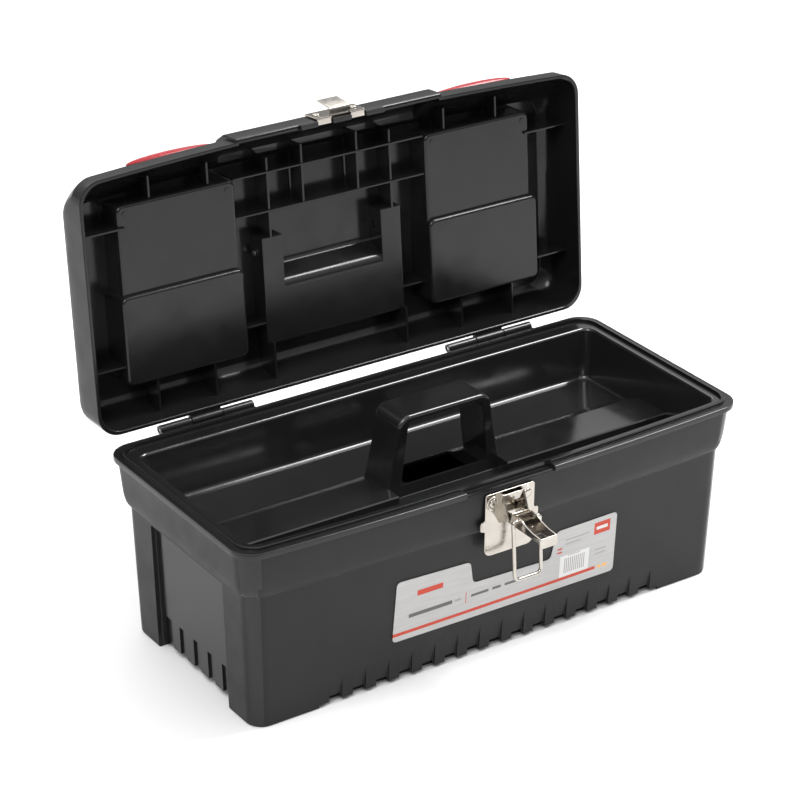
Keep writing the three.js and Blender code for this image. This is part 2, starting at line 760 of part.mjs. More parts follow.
function latchBail() {
  const half = 10.5;
  const peg = LEVER_HALF - 1.6;
  const bend = 3;
  const [y0, z0] = BAIL_PIVOT;
  const [y1, z1] = BAIL_FOOT;
  const lean = (t) => y0 + (y1 - y0) * t;
  const drop = (t) => z0 + (z1 - z0) * t;
  const corner = bend / (z0 - z1);
  const path = new THREE.CurvePath();
  const v = (x, t) => new THREE.Vector3(x, lean(t), drop(t));
  path.add(new THREE.LineCurve3(v(-peg, 0), v(-half + 1.6, 0)));
  path.add(new THREE.QuadraticBezierCurve3(v(-half + 1.6, 0), v(-half, 0), v(-half, corner / 1.8)));
  path.add(new THREE.LineCurve3(v(-half, corner / 1.8), v(-half, 1 - corner)));
  path.add(new THREE.QuadraticBezierCurve3(v(-half, 1 - corner), v(-half, 1), v(-half + bend, 1)));
  path.add(new THREE.LineCurve3(v(-half + bend, 1), v(half - bend, 1)));
  path.add(new THREE.QuadraticBezierCurve3(v(half - bend, 1), v(half, 1), v(half, 1 - corner)));
  path.add(new THREE.LineCurve3(v(half, 1 - corner), v(half, corner / 1.8)));
  path.add(new THREE.QuadraticBezierCurve3(v(half, corner / 1.8), v(half, 0), v(half - 1.6, 0)));
  path.add(new THREE.LineCurve3(v(half - 1.6, 0), v(peg, 0)));
  const section = new THREE.Shape();
  section.absarc(0, 0, WIRE_R, 0, Math.PI * 2);
  const settings = { extrudePath: path, steps: 64, curveSegments: 4, bevelEnabled: false };
  return solid(new THREE.ExtrudeGeometry(section, settings));
}

// ---- catch on the lid ----
const CATCH_D = [1, 15];
const TAB_REACH = -88.9;

function latchCatch() {
  const back = BOSS_FRONT - FIT;
  const flange = box([-19.4, 19.4], [back - 1.2, back], [DEPTH(CATCH_D[0]), DEPTH(CATCH_D[1])]);
  const tabs = CATCH_TABS.map((x) =>
    union([
      box(x, [back - 1.2, back], [DEPTH(-1.3), DEPTH(2)]),
      box(x, [back - 1.2, TAB_REACH], [DEPTH(-1.3), DEPTH(-FIT)]),
    ]),
  );
  const hook = profileX([-8, 8], [
    [back - 1, DEPTH(0.4)],
    [-97.6, DEPTH(1.2)],
    [-99.1, DEPTH(3)],
    [-100.6, DEPTH(17)],
    [-99.4, DEPTH(17)],
    [-97.9, DEPTH(3.6)],
    [-97.2, DEPTH(2.5)],
    [back - 1, DEPTH(1.7)],
  ]);
  const holes = [-1, 1].map((s) => barY(s * CATCH_RIVET_X, [-120, -80], DEPTH(CATCH_RIVET_D), 1.8));
  return without(union([flange, hook, ...tabs]), holes);
}

function catchRivet(side) {
  const x = side * CATCH_RIVET_X;
  const z = DEPTH(CATCH_RIVET_D);
  const face = BOSS_FRONT - FIT - 1.2;
  return union([
    barY(x, [face - 1.3, face - FIT], z, 2.9),
    barY(x, [face - 1, -87.6], z, 1.5),
    barY(x, [-88.2, -87.2], z, 2.7),
  ]);
}

// ---- label on the body front ----
function frontLabel() {
  const corners = [[-84, 32], [96, 30], [96, 76], [45, 76], [41, 56], [-22, 58], [-25, 75], [-82, 77]];
  const shape = new THREE.Shape(corners.map(([x, z]) => new THREE.Vector2(x, z)));
  const sheet = bodyOutside(FIT + 0.4).subtract(bodyOutside(FIT));
  return sheet.intersect(profileY(shape, [-FAR, -60]));
}

// ---- assembly ----
function finish(name, part, color, roughness, metalness) {
  const mesh = part.getMesh();
  const geometry = new THREE.BufferGeometry();
  geometry.setAttribute('position', new THREE.BufferAttribute(mesh.vertProperties, 3));
  geometry.setIndex(new THREE.BufferAttribute(mesh.triVerts, 1));
  geometry.computeVertexNormals();
  const material = new THREE.MeshStandardMaterial({ color, roughness, metalness });
  const result = new THREE.Mesh(geometry, material);
  result.name = name;
  return result;
}

const plastic = (name, part) => finish(name, part, 0x2e2e2f, 0.45, 0);
const red = (name, part) => finish(name, part, 0xd6232d, 0.3, 0);
const steel = (name, part) => finish(name, part, 0xc9c4ba, 0.25, 1);

const group = new THREE.Group();
group.add(plastic('body_shell', bodyShell()));
group.add(plastic('tray', tray()));
group.add(finish('front_label', frontLabel(), 0xdcdcdc, 0.4, 0));
group.add(steel('latch_plate', latchPlate()));
group.add(steel('latch_pivot_pin', latchPivotPin()));
group.add(steel('latch_lever', latchLever()));
group.add(steel('latch_bail', latchBail()));

const lid = new THREE.Group();
lid.position.set(0, HINGE_Y, HINGE_Z);
lid.rotation.x = THREE.MathUtils.degToRad(-OPEN_ANGLE);
const closed = new THREE.Group();
closed.position.set(0, -HINGE_Y, -HINGE_Z);
lid.add(closed);
closed.add(plastic('lid_shell', lidShell()));
closed.add(plastic('carry_handle', carryHandle()));
closed.add(steel('latch_catch', latchCatch()));

for (const [side, word] of [[-1, 'left'], [1, 'right']]) {
  group.add(steel(`hinge_pin_${word}`, hingePin(HINGE_X[side < 0 ? 0 : 1])));
  group.add(steel(`latch_rivet_${word}`, latchRivet(side)));
  closed.add(steel(`catch_rivet_${word}`, catchRivet(side)));
  closed.add(steel(`handle_pin_${word}`, handlePin(side)));
  closed.add(red(`organiser_cover_${word}`, organiserCover(side)));
}
group.add(lid);

export default group;
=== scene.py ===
"""Looks of the carpenter toolbox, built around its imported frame.

The scene is in metres; the shapes below are written in millimetres, +Z up, -Y the front.
Lid pieces are drawn closed and then turned back about the hinge.
"""
import bpy
import json
import math
from mathutils import Matrix, Vector


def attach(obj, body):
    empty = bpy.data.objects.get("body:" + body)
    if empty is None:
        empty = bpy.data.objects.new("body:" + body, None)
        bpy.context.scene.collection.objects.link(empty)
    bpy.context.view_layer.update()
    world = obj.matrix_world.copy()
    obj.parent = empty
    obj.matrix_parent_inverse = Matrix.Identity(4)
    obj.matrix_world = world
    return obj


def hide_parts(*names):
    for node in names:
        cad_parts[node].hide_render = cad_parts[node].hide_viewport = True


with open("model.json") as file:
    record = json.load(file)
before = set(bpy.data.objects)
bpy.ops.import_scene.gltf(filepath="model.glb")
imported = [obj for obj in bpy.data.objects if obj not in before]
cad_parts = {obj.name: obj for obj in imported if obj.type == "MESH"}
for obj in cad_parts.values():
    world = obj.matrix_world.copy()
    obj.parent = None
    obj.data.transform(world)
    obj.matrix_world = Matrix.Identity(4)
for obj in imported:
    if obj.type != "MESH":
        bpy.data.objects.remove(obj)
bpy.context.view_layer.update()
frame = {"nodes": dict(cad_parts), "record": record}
scene = bpy.context.scene

# ---- dimensions, mm ----
HALF_LENGTH = 198.0
BACK = 89.0
FRONT = 85.5
BOW = 5.0
CORNER = 16.0
RIM = 131.7
LIP = 4.0
COLLAR = 96.8
EDGE = RIM + 0.3  # lid edge when closed
HINGE_Y = 93.2
HINGE_Z = RIM + 0.15
OPEN_ANGLE = 95.3
HINGE_X = (-118.5, 114.0)
HINGE_LENGTH = 72.0
THIRD = HINGE_LENGTH / 3
HINGE_BORE = 1.5
HINGE_ROD = 1.2
KNUCKLE = 3.1
GAP = 0.3
FAR = 400.0  # beyond the box in any direction
SHEET = 1.2  # thickness of the latch's steel
LATCH_RIVET_X = 13.5
RIVET_Z = 117.9
CATCH_RIVET_X = 14.5
CATCH_RIVET_D = 8.0
CATCH_TABS = ((-19.4, -8.0), (7.0, 18.4))  # x spans of the tabs folded over the lid edge


def D(depth):
    """Height of a point this far above the lid edge, lid closed."""
    return EDGE + depth


def both(inner, outer, side):
    """A span of x on the right, or its mirror on the left."""
    return (inner, outer) if side > 0 else (-outer, -inner)


PIVOT = (-1.0, D(28.0))  # carry-handle pivot in y and z


# ---- meshes ----
def evaluated(obj):
    """The object's mesh with its modifiers applied; the object is used up."""
    bpy.context.view_layer.update()
    mesh = bpy.data.meshes.new_from_object(obj.evaluated_get(bpy.context.evaluated_depsgraph_get()))
    old = obj.data
    bpy.data.objects.remove(obj)
    bpy.data.meshes.remove(old)
    return mesh


def holder(mesh):
    """A working object in the scene for a mesh."""
    obj = bpy.data.objects.new("work", mesh)
    scene.collection.objects.link(obj)
    return obj


def raw(points, faces):
    mesh = bpy.data.meshes.new("work")
    mesh.from_pydata([tuple(p) for p in points], [], faces)
    mesh.update()
    return mesh


def rounded(mesh, width, segments=2, angle=30):
    """The mesh with its edges rounded off."""
    obj = holder(mesh)
    mod = obj.modifiers.new("edge", "BEVEL")
    mod.width = width
    mod.segments = segments
    mod.limit_method = "ANGLE"
    mod.angle_limit = math.radians(angle)
    mod.use_clamp_overlap = True
    return evaluated(obj)


def combine(mesh, others, operation):
    """The mesh after one boolean with each of the others, which are used up."""
    for other in others:
        obj, tool = holder(mesh), holder(other)
        mod = obj.modifiers.new("csg", "BOOLEAN")
        mod.operation = operation
        mod.solver = "MANIFOLD"
        mod.object = tool
        mesh = evaluated(obj)
        used = tool.data
        bpy.data.objects.remove(tool)
        bpy.data.meshes.remove(used)
    return mesh


def join(mesh, *others):
    return combine(mesh, others, "UNION")


def cut(mesh, *others):
    return combine(mesh, others, "DIFFERENCE")


def common(mesh, *others):
    return combine(mesh, others, "INTERSECT")


def prism(axis, span, outline, edge=0.0, segments=2):
    """An outline drawn out along x, y or z; its points are the other two coordinates in order."""
    count = len(outline)
    place = {
        "x": lambda t, p: (t, p[0], p[1]),
        "y": lambda t, p: (p[0], t, p[1]),
        "z": lambda t, p: (p[0], p[1], t),
    }[axis]
    points = [place(t, p) for t in span for p in outline]
    faces = [(j, (j + 1) % count, (j + 1) % count + count, j + count) for j in range(count)]
    faces += [tuple(reversed(range(count))), tuple(range(count, 2 * count))]
    area = sum(
        outline[j][0] * outline[(j + 1) % count][1] - outline[(j + 1) % count][0] * outline[j][1]
        for j in range(count)
    )
    if (area < 0) != (axis == "y"):
        faces = [tuple(reversed(f)) for f in faces]
    mesh = raw(points, faces)
    return rounded(mesh, edge, segments) if edge else mesh


def block(x, y, z, edge=0.0, segments=2):
    """A box over three spans, with its edges rounded if asked."""
    return prism("z", z, [(x[0], y[0]), (x[1], y[0]), (x[1], y[1]), (x[0], y[1])], edge, segments)


def circle(centre, radius, sides):
    turn = 2 * math.pi / sides
    return [
        (centre[0] + radius * math.cos(i * turn), centre[1] + radius * math.sin(i * turn))
        for i in range(sides)
    ]


def bar(axis, span, centre, radius, sides=32, edge=0.0):
    """A round bar along an axis."""
    return prism(axis, span, circle(centre, radius, sides), edge)


ARC_STEPS = 8  # faces round a corner
SWELL_STEPS = 20  # faces along the bowed front


def ring(level):
    """A rounded rectangle at height z whose front side swells outwards."""
    z, length, back, front, radius, bow = level
    radius = max(radius, 0.4)
    points = []
    for i in range(1, SWELL_STEPS):
        t = i / SWELL_STEPS
        points.append(((length - radius) * (2 * t - 1), -front - 4 * bow * t * (1 - t)))
    corners = (
        (length - radius, radius - front, -90),
        (length - radius, back - radius, 0),
        (radius - length, back - radius, 90),
        (radius - length, radius - front, 180),
    )
    for x, y, start in corners:
        for i in range(ARC_STEPS + 1):
            a = math.radians(start + 90 * i / ARC_STEPS)
            points.append((x + radius * math.cos(a), y + radius * math.sin(a)))
    return [(x, y, z) for x, y in points]


def stitched(rings):
    """A closed skin over rings of points, capped at the first and the last."""
    count = len(rings[0])
    faces = [tuple(reversed(range(count)))]
    for i in range(len(rings) - 1):
        for j in range(count):
            a, b = i * count + j, i * count + (j + 1) % count
            faces.append((a, b, b + count, a + count))
    last = (len(rings) - 1) * count
    faces.append(tuple(range(last, last + count)))
    return raw([p for points in rings for p in points], faces)


def loft(levels):
    """A solid through rounded rectangles, from the lowest level of its outside to the last one inside."""
    return stitched([ring(level) for level in levels])


def corner(a, b, c, steps=8):
    """Points round a bend from a to c with its corner at b."""
    weights = [k / steps for k in range(steps + 1)]
    return [a * (1 - t) ** 2 + b * (2 * t * (1 - t)) + c * t * t for t in weights]


def bend_pairs(a, b, c, steps):
    """A bend in a flat outline, as plain pairs."""
    return [tuple(p) for p in corner(Vector(a), Vector(b), Vector(c), steps)]


def lip(z, inset, bow=BOW, front_inset=None):
    """The lip outline moved in by inset, at height z."""
    front_inset = inset if front_inset is None else front_inset
    radius = max(3.0, CORNER - 0.35 * inset)
    return (z, HALF_LENGTH - inset, BACK - inset, FRONT - front_inset, radius, bow)


def smooth(levels, steps=4):
    """The same levels with more between them, on a Catmull-Rom curve."""
    out = []
    for i in range(len(levels) - 1):
        a = levels[max(i - 1, 0)]
        b, c = levels[i], levels[i + 1]
        d = levels[min(i + 2, len(levels) - 1)]
        for k in range(steps):
            t = k / steps
            out.append(tuple(
                0.5 * (
                    2 * q + (r - p) * t + (2 * p - 5 * q + 4 * r - s) * t * t
                    + (3 * q - p - 3 * r + s) * t ** 3
                )
                for p, q, r, s in zip(a, b, c, d)
            ))
    out.append(levels[-1])
    return out


OPENED = (
    Matrix.Translation((0, HINGE_Y, HINGE_Z))
    @ Matrix.Rotation(math.radians(-OPEN_ANGLE), 4, "X")
    @ Matrix.Translation((0, -HINGE_Y, -HINGE_Z))
)


def piece(name, mesh, body, slot, nodes, opened=False, sharp=32, inner=None):
    """Puts a finished shape in the scene, in metres, in place of CAD nodes."""
    mesh.name = name
    if opened:
        mesh.transform(OPENED)
    mesh.transform(Matrix.Scale(0.001, 4))
    mesh.shade_smooth()
    mesh.set_sharp_from_angle(angle=math.radians(sharp))
    finish = [face.material_index for face in mesh.polygons]
    mesh.materials.clear()
    mesh.materials.append(BY_SLOT[slot])
    if inner is not None:
        mesh.materials.append(inner)
        mesh.polygons.foreach_set("material_index", finish)
    obj = bpy.data.objects.new(name, mesh)
    scene.collection.objects.link(obj)
    normals = obj.modifiers.new("normals", "WEIGHTED_NORMAL")
    normals.keep_sharp = True
    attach(obj, body)
    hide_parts(*nodes)
    return obj


# ---- materials ----
class Nodes:
    """Short names for building one material's node tree."""

    def __init__(self, name):
        self.material = bpy.data.materials.new(name)
        self.material.use_nodes = True
        self.tree = self.material.node_tree
        self.tree.nodes.clear()
        self.output = self.tree.nodes.new("ShaderNodeOutputMaterial")
        self.shader = self.tree.nodes.new("ShaderNodeBsdfPrincipled")
        self.tree.links.new(self.shader.outputs[0], self.output.inputs[0])
        self.place = self.tree.nodes.new("ShaderNodeTexCoord").outputs["Object"]

    def set(self, socket, value):
        if isinstance(value, bpy.types.NodeSocket):
            self.tree.links.new(value, socket)
        else:
            socket.default_value = value

    def put(self, name, value):
        self.set(self.shader.inputs[name], value)

    def noise(self, scale, detail=2.0, stretch=(1, 1, 1)):
        node = self.tree.nodes.new("ShaderNodeTexNoise")
        node.inputs["Scale"].default_value = scale
        node.inputs["Detail"].default_value = detail
        mapping = self.tree.nodes.new("ShaderNodeMapping")
        mapping.inputs["Scale"].default_value = stretch
        self.tree.links.new(self.place, mapping.inputs[0])
        self.tree.links.new(mapping.outputs[0], node.inputs["Vector"])
        return node.outputs[0]

    def ramp(self, factor, low, high, start=0.3, end=0.7):
        node = self.tree.nodes.new("ShaderNodeMapRange")
        for i, v in enumerate((start, end, low, high)):
            node.inputs[i + 1].default_value = v
        self.tree.links.new(factor, node.inputs[0])
        return node.outputs[0]

    def math(self, operation, a, b=0.0):
        node = self.tree.nodes.new("ShaderNodeMath")
        node.operation = operation
        self.set(node.inputs[0], a)
        self.set(node.inputs[1], b)
        return node.outputs[0]

    def mix(self, factor, a, b):
        node = self.tree.nodes.new("ShaderNodeMix")
        node.data_type = "RGBA"
        for socket, value in ((node.inputs[0], factor), (node.inputs[6], a), (node.inputs[7], b)):
            self.set(socket, value)
        return node.outputs[2]

    def bump(self, height, strength, distance, under=None):
        node = self.tree.nodes.new("ShaderNodeBump")
        node.inputs["Strength"].default_value = strength
        node.inputs["Distance"].default_value = distance
        self.tree.links.new(height, node.inputs["Height"])
        if under is not None:
            self.tree.links.new(under, node.inputs["Normal"])
        return node.outputs[0]


def moulded(name, color, rough, grain, depth, broad=0.0004, cloud=1.18, ior=1.49):
    """Moulded plastic: fine grain, slight cloudiness and shallow flow marks."""
    n = Nodes(name)
    light = tuple(min(1, c * cloud + 0.001) for c in color) + (1,)
    n.put("Base Color", n.mix(n.ramp(n.noise(14, 3), 0, 1), tuple(color) + (1,), light))
    n.put("Roughness", n.ramp(n.noise(60, 4), rough - 0.05, rough + 0.05))
    n.put("IOR", ior)
    flow = n.bump(n.noise(16, 1), 0.2, broad)
    n.put("Normal", n.bump(n.noise(grain, 1.5), 0.5, depth, flow))
    return n.material


def plated(name, color, rough):
    """Plated steel: faint drawing marks and slightly uneven plating."""
    n = Nodes(name)
    n.put("Metallic", 1.0)
    dull = tuple(c * 0.86 for c in color) + (1,)
    n.put("Base Color", n.mix(n.ramp(n.noise(90, 3), 0, 1), tuple(color) + (1,), dull))
    n.put("Roughness", n.ramp(n.noise(300, 3, (1, 1, 8)), rough - 0.04, rough + 0.08))
    waves = n.bump(n.noise(120, 2), 0.35, 0.0003)
    n.put("Normal", n.bump(n.noise(700, 2, (0.15, 1, 1)), 0.3, 0.00002, waves))
    return n.material


# ---- label print ----
SILVER = (0.41, 0.405, 0.40, 1)
ORANGE = (0.50, 0.035, 0.008, 1)
WHITE = (0.66, 0.66, 0.65, 1)
DARK = (0.10, 0.09, 0.09, 1)
GREY = (0.30, 0.29, 0.29, 1)
YELLOW = (0.80, 0.42, 0.10, 1)
# colour, x range, z range of each printed block, mm
PRINT = (
    (ORANGE, (-90, 80), (36.0, 38.4)),
    (YELLOW, (82, 84.5), (36.0, 38.2)),
    (YELLOW, (86, 90), (36.0, 38.2)),
    (ORANGE, (77, 90.5), (63.5, 72.5)),
    (WHITE, (79, 88.5), (66.8, 69.2)),
    (ORANGE, (-66, -46), (62.5, 66.5)),
    (DARK, (-72, -38), (47.4, 50.2)),
    (GREY, (-36, -31), (48.0, 49.8)),
    (ORANGE, (-27.4, -26.8), (44.5, 52.5)),
    (DARK, (-23, -9), (47.6, 49.6)),
    (DARK, (-6, 1), (47.6, 49.6)),
    (DARK, (4, 34), (47.6, 49.6)),
    (ORANGE, (46.5, 50.5), (60.8, 62.0)),
    (ORANGE, (46.5, 50.5), (58.0, 59.2)),
    (GREY, (53, 73), (66.6, 67.6)),
    (GREY, (53, 66), (63.4, 64.4)),
    (WHITE, (49.5, 74), (38.5, 55)),
    (GREY, (56, 66), (54.0, 54.6)),
    (GREY, (79, 88), (50.6, 51.6)),
    (GREY, (79, 88), (47.4, 48.4)),
)
STRIPES = ((53, 71), (41, 52.5))
STRIPES_PER_METRE = 620.0


def printed(name):
    """Silver film with plain printed blocks and bars."""
    n = Nodes(name)
    split = n.tree.nodes.new("ShaderNodeSeparateXYZ")
    n.tree.links.new(n.place, split.inputs[0])
    x, z = split.outputs[0], split.outputs[2]

    def within(value, span):
        low = n.math("GREATER_THAN", value, span[0] / 1000)
        return n.math("MULTIPLY", low, n.math("LESS_THAN", value, span[1] / 1000))

    brushed = n.ramp(n.noise(500, 3, (0.1, 1, 1)), 0, 1)
    color = n.mix(brushed, SILVER, tuple(c * 1.12 for c in SILVER[:3]) + (1,))
    ink = 0.0
    for tint, across, up in PRINT:
        mask = n.math("MULTIPLY", within(x, across), within(z, up))
        color = n.mix(mask, color, tint)
        ink = n.math("MAXIMUM", ink, mask)
    lines = n.math("LESS_THAN", n.math("FRACT", n.math("MULTIPLY", x, STRIPES_PER_METRE)), 0.48)
    field = n.math("MULTIPLY", within(x, STRIPES[0]), within(z, STRIPES[1]))
    bars = n.math("MULTIPLY", lines, field)
    n.put("Base Color", n.mix(bars, color, GREY))
    n.put("Metallic", n.ramp(ink, 0.25, 0.0, 0.0, 1.0))
    n.put("Roughness", n.ramp(ink, 0.34, 0.45, 0.0, 1.0))
    n.put("Normal", n.bump(n.noise(900, 2), 0.2, 0.00001))
    return n.material


# ---- finishes ----
SHELL = moulded("shell_plastic", (0.009, 0.009, 0.0095), 0.42, 2600, 0.00003, ior=1.34)
INSIDE = moulded("shell_inside", (0.008, 0.008, 0.0085), 0.19, 1800, 0.00001, 0.0002, ior=1.42)
TRAY = moulded("tray_plastic", (0.009, 0.009, 0.0095), 0.14, 1800, 0.00001, 0.0002, ior=1.62)
RED = moulded("cover_plastic", (0.29, 0.005, 0.010), 0.27, 1200, 0.000002, 0.0001, 1.05)
NICKEL = plated("latch_steel", (0.50, 0.465, 0.42), 0.12)
ZINC = plated("pin_steel", (0.62, 0.62, 0.63), 0.32)
LABEL = printed("label_film")

BY_SLOT = {
    "shell_plastic": SHELL,
    "tray_plastic": TRAY,
    "cover_plastic": RED,
    "latch_steel": NICKEL,
    "pin_steel": ZINC,
    "label_film": LABEL,
}
for sub in frame["record"]["subparts"]:
    node = frame["nodes"][sub["node"]]
    node.data.materials.clear()
    node.data.materials.append(BY_SLOT[sub["material_slot"]])


# ---- body ----
WALL_HEAD = COLLAR - 0.8
WALL = 2.8
FLUTES = [18.0 * i for i in range(-7, 8)]
FLUTE_FACE = 75.1
SILL = 2.8
SILL_HALF = 138.5
PANEL_HALF = 45
PANEL_FOOT_X = 182.2
PANEL_HEAD_X = 185.8
PANEL_HEAD_Z = 91
SLOT_PITCH = 18
SLOT_HALF = 4.2
NOTCH_HALF = 35


def wall(z, inset=0.0):
    """The tub wall between its foot and the collar."""
    t = z / WALL_HEAD
    low = (186.2, 77.2, 77.1, 11.9, 0.0)
    high = (189.5, 80.5, 78.6, 13.0, 4.0)
    length, back, front, radius, bow = (a + (b - a) * t for a, b in zip(low, high))
    return (z, length - inset, back - inset, front - inset, max(3.0, radius - inset), bow)


def body_skin(grow=0.0):
    """Outside of the tub up to the underside of the lip."""
    foot = [wall(0, 1.5 - grow), wall(0.15, 0.8 - grow), wall(0.5, 0.35 - grow), wall(1.5, -grow)]
    side = [wall(z, -grow) for z in (27.5, 50, 75, 90, WALL_HEAD - 0.6)]
    step = [
        lip(COLLAR - 0.75, 8.1 - grow, 4.2, 6.9 - grow),
        lip(COLLAR - 0.5, 7.4 - grow, 4.5, 6.9 - grow),
        lip(COLLAR - 0.1, 6.9 - grow),
        lip(COLLAR + 0.8, 6.3 - grow),
        lip(COLLAR + 2.2, 5.7 - grow),
        lip(COLLAR + 4.5, 5.15 - grow),
        lip(COLLAR + 7, 4.7 - grow),
        lip(COLLAR + 12, 4.15 - grow),
        lip(RIM - 16, 3.6 - grow),
        lip(RIM - 9, 2.9 - grow, BOW, 3.25 - grow),
        lip(RIM - LIP - 0.5, 2.4 - grow, BOW, 3 - grow),
    ]
    return foot + side + step


def body_mesh():
    lip_rings = [
        lip(RIM - LIP, 1.9, BOW, 2.4), lip(RIM - LIP, 0.6), lip(RIM - LIP + 0.2, 0.2),
        lip(RIM - LIP + 0.7, 0), lip(RIM - 0.9, 0), lip(RIM - 0.3, 0.2), lip(RIM - 0.05, 0.55),
        lip(RIM, 1.0), lip(RIM, 4.6), lip(RIM + 0.1, 4.9), lip(RIM + 0.4, 5.0),
        lip(RIM + 1.4, 5.0), lip(RIM + 1.7, 5.15), lip(RIM + 1.8, 5.5),
        lip(RIM + 1.8, 6.5), lip(RIM + 1.7, 6.85), lip(RIM + 1.4, 7.0),
        lip(RIM - 2.5, 7.0), lip(RIM - 2.7, 7.2), lip(RIM - 2.7, 9.4), lip(RIM - 3, 9.8),
        lip(COLLAR + 5.7, 9.4),
    ]
    inner = [wall(z, WALL) for z in (WALL_HEAD - 0.5, 60, 33)]
    floor = [wall(7.1, 2.9), wall(4.6, 3.7), wall(3.5, 5.2), wall(3.1, 7.2)]
    tub = loft(body_skin() + lip_rings + inner + floor)
    for side in (-1, 1):
        tub = join(tub, *backing(side))
    for side in (-1, 1):
        tub = cut(tub, *end_cutters(side))
        tub = cut(tub, *flute_cutters(side))
    notch = (-NOTCH_HALF, NOTCH_HALF)
    tub = cut(tub, block(notch, (-FAR, -84), (RIM - 2.6, RIM + 5), 0.4))
    tub = cut(tub, block(notch, (-FAR, -87.6), (RIM - LIP - 0.1, RIM + 5)))
    for x in HINGE_X:
        for start in (x - HINGE_LENGTH / 2, x + THIRD / 2 + GAP):
            tub = join(tub, knuckle(start, THIRD - GAP, (HINGE_Z - KNUCKLE, RIM - 0.01)))
        tub = cut(tub, bar("x", (x - 60, x + 60), (HINGE_Y, HINGE_Z), HINGE_BORE))
    for x in (-LATCH_RIVET_X, LATCH_RIVET_X):
        tub = cut(tub, bar("y", (-120, -70), (x, RIVET_Z), 1.9))
    return tub


def backing(side):
    """Extra wall behind the recesses of one long side and one end."""
    row = (-141.3, 141.3)
    slope = [(side * x, z) for x, z in ((177.6, 2), (182.4, 95), (188.8, 95), (185.5, 2))]
    return [
        block(row, both(71, 76, side), (2, 27)),
        block(row, both(67.2, 75.5, side), (2, 8.8)),
        prism("y", (-48, 48), slope),
        block(both(160, 180, side), (-48, 48), (2, 7.9)),
    ]


def flute_cutters(side):
    """The row of tapering recesses along one foot, open below, and the raised sill under them."""
    outline = ((FLUTE_FACE, -1), (FLUTE_FACE, SILL), (79.2, 28), (90, 28), (90, -1))
    wedge = [(side * y, z) for y, z in outline]
    span = both(70, FAR, side)
    cutters = [block((-SILL_HALF, SILL_HALF), span, (-1, SILL), 0.8)]
    for x in FLUTES:
        cutters.append(prism("x", (x - 5, x + 5), wedge, 0.5))
        cutters.append(block((x - 4.7, x + 4.7), span, (-1, 6), 0.4))
    return cutters


def knuckle(start, length, web):
    """One hinge knuckle with the web that carries it."""
    roll = bar("x", (start, start + length), (HINGE_Y, HINGE_Z), KNUCKLE, 32, 0.35)
    return join(roll, block((start + 0.02, start + length - 0.02), (BACK - 1, HINGE_Y), web))


def end_cutters(side):
    """The sunk panel of one end, the arch below it and its slots."""
    def beyond(depth, edge=0.0):
        outline = [
            (side * (PANEL_FOOT_X - depth), -1), (side * (PANEL_HEAD_X - depth), PANEL_HEAD_Z),
            (side * 191.8, 95), (side * FAR, 95), (side * FAR, -1),
        ]
        return prism("y", (-PANEL_HALF, PANEL_HALF), outline, edge)

    foot_arch = block(both(165, FAR, side), (-PANEL_HALF, PANEL_HALF), (-1, 5), 1.0)
    cutters = [beyond(0, 1.0), foot_arch]
    for i in (-2, -1, 0, 1, 2):
        y = SLOT_PITCH * i
        strip = block(both(100, FAR, side), (y - SLOT_HALF, y + SLOT_HALF), (-1, 26), 0.8)
        cutters.append(common(strip, beyond(1.4)))
    return cutters


def between(levels, z):
    """The outline at a height between two levels."""
    for low, high in zip(levels, levels[1:]):
        if low[0] <= z <= high[0] and high[0] > low[0]:
            t = (z - low[0]) / (high[0] - low[0])
            return [a + (b - a) * t for a, b in zip(low, high)]
    return None


SKIN = 1.2  # how far under the outer skin the inside's finish starts


def polish_inside(mesh, levels, above, boss_depth=0.0):
    """Gives the second material to every face well inside the outer skin.

    The faces below the levels have it too, and those above them if above is 1.
    """
    for face in mesh.polygons:
        x, y, z = face.center
        level = between(levels, z)
        if level is None:
            face.material_index = 1 if z < levels[0][0] + 1 else above
            continue
        t = max(0.0, min(1.0, 0.5 + 0.5 * x / level[1]))
        front = level[3] + 4 * level[5] * t * (1 - t) + (boss_depth if abs(x) < BOSS_HALF - 1 else 0.0)
        deep = abs(x) < level[1] - SKIN and -front + SKIN < y < level[2] - SKIN
        face.material_index = 1 if deep else 0
    return mesh


# ---- tray ----
TRAY_TOP = 131.4
TRAY_FLOOR = 95.5
PLATFORM = 103.9
HANDLE_TOP = 153.9


def tray_wall(z, inner, inset=0.0):
    """One skin of the tray wall, inner or outer."""
    if inner:
        t = (z - TRAY_FLOOR) / (TRAY_TOP + 1 - TRAY_FLOOR)
        low, high = (178.4, 63.2, 66.0), (184.5, 69.2, 72.1)
        radius = 7.0
    else:
        t = (z - TRAY_FLOOR + 2) / (TRAY_TOP + 0.4 - TRAY_FLOOR)
        low, high = (180.6, 65.4, 68.2), (186.6, 71.4, 74.2)
        radius = 9.0
    length, back, front = (a + (b - a) * t - inset for a, b in zip(low, high))
    return (z, length, back, front, max(2.0, radius - inset), BOW)


def arch(foot, top, z0, z1, bend, flare=0.0):
    """An upright arch outline in x and z with rounded shoulders and flared feet."""
    right = []
    for i in range(7):
        t = i / 6
        x = foot + flare * (1 - t) ** 2 - (foot - top - bend * 0.15) * t
        right.append((x, z0 + (z1 - bend - z0) * t))
    for i in range(1, 9):
        a = math.radians(90 * i / 8)
        x = top - bend + bend * (1.15 - 0.15 * i / 8) * math.cos(a)
        right.append((x, z1 - bend + bend * math.sin(a)))
    return right + [(-x, z) for x, z in reversed(right)]


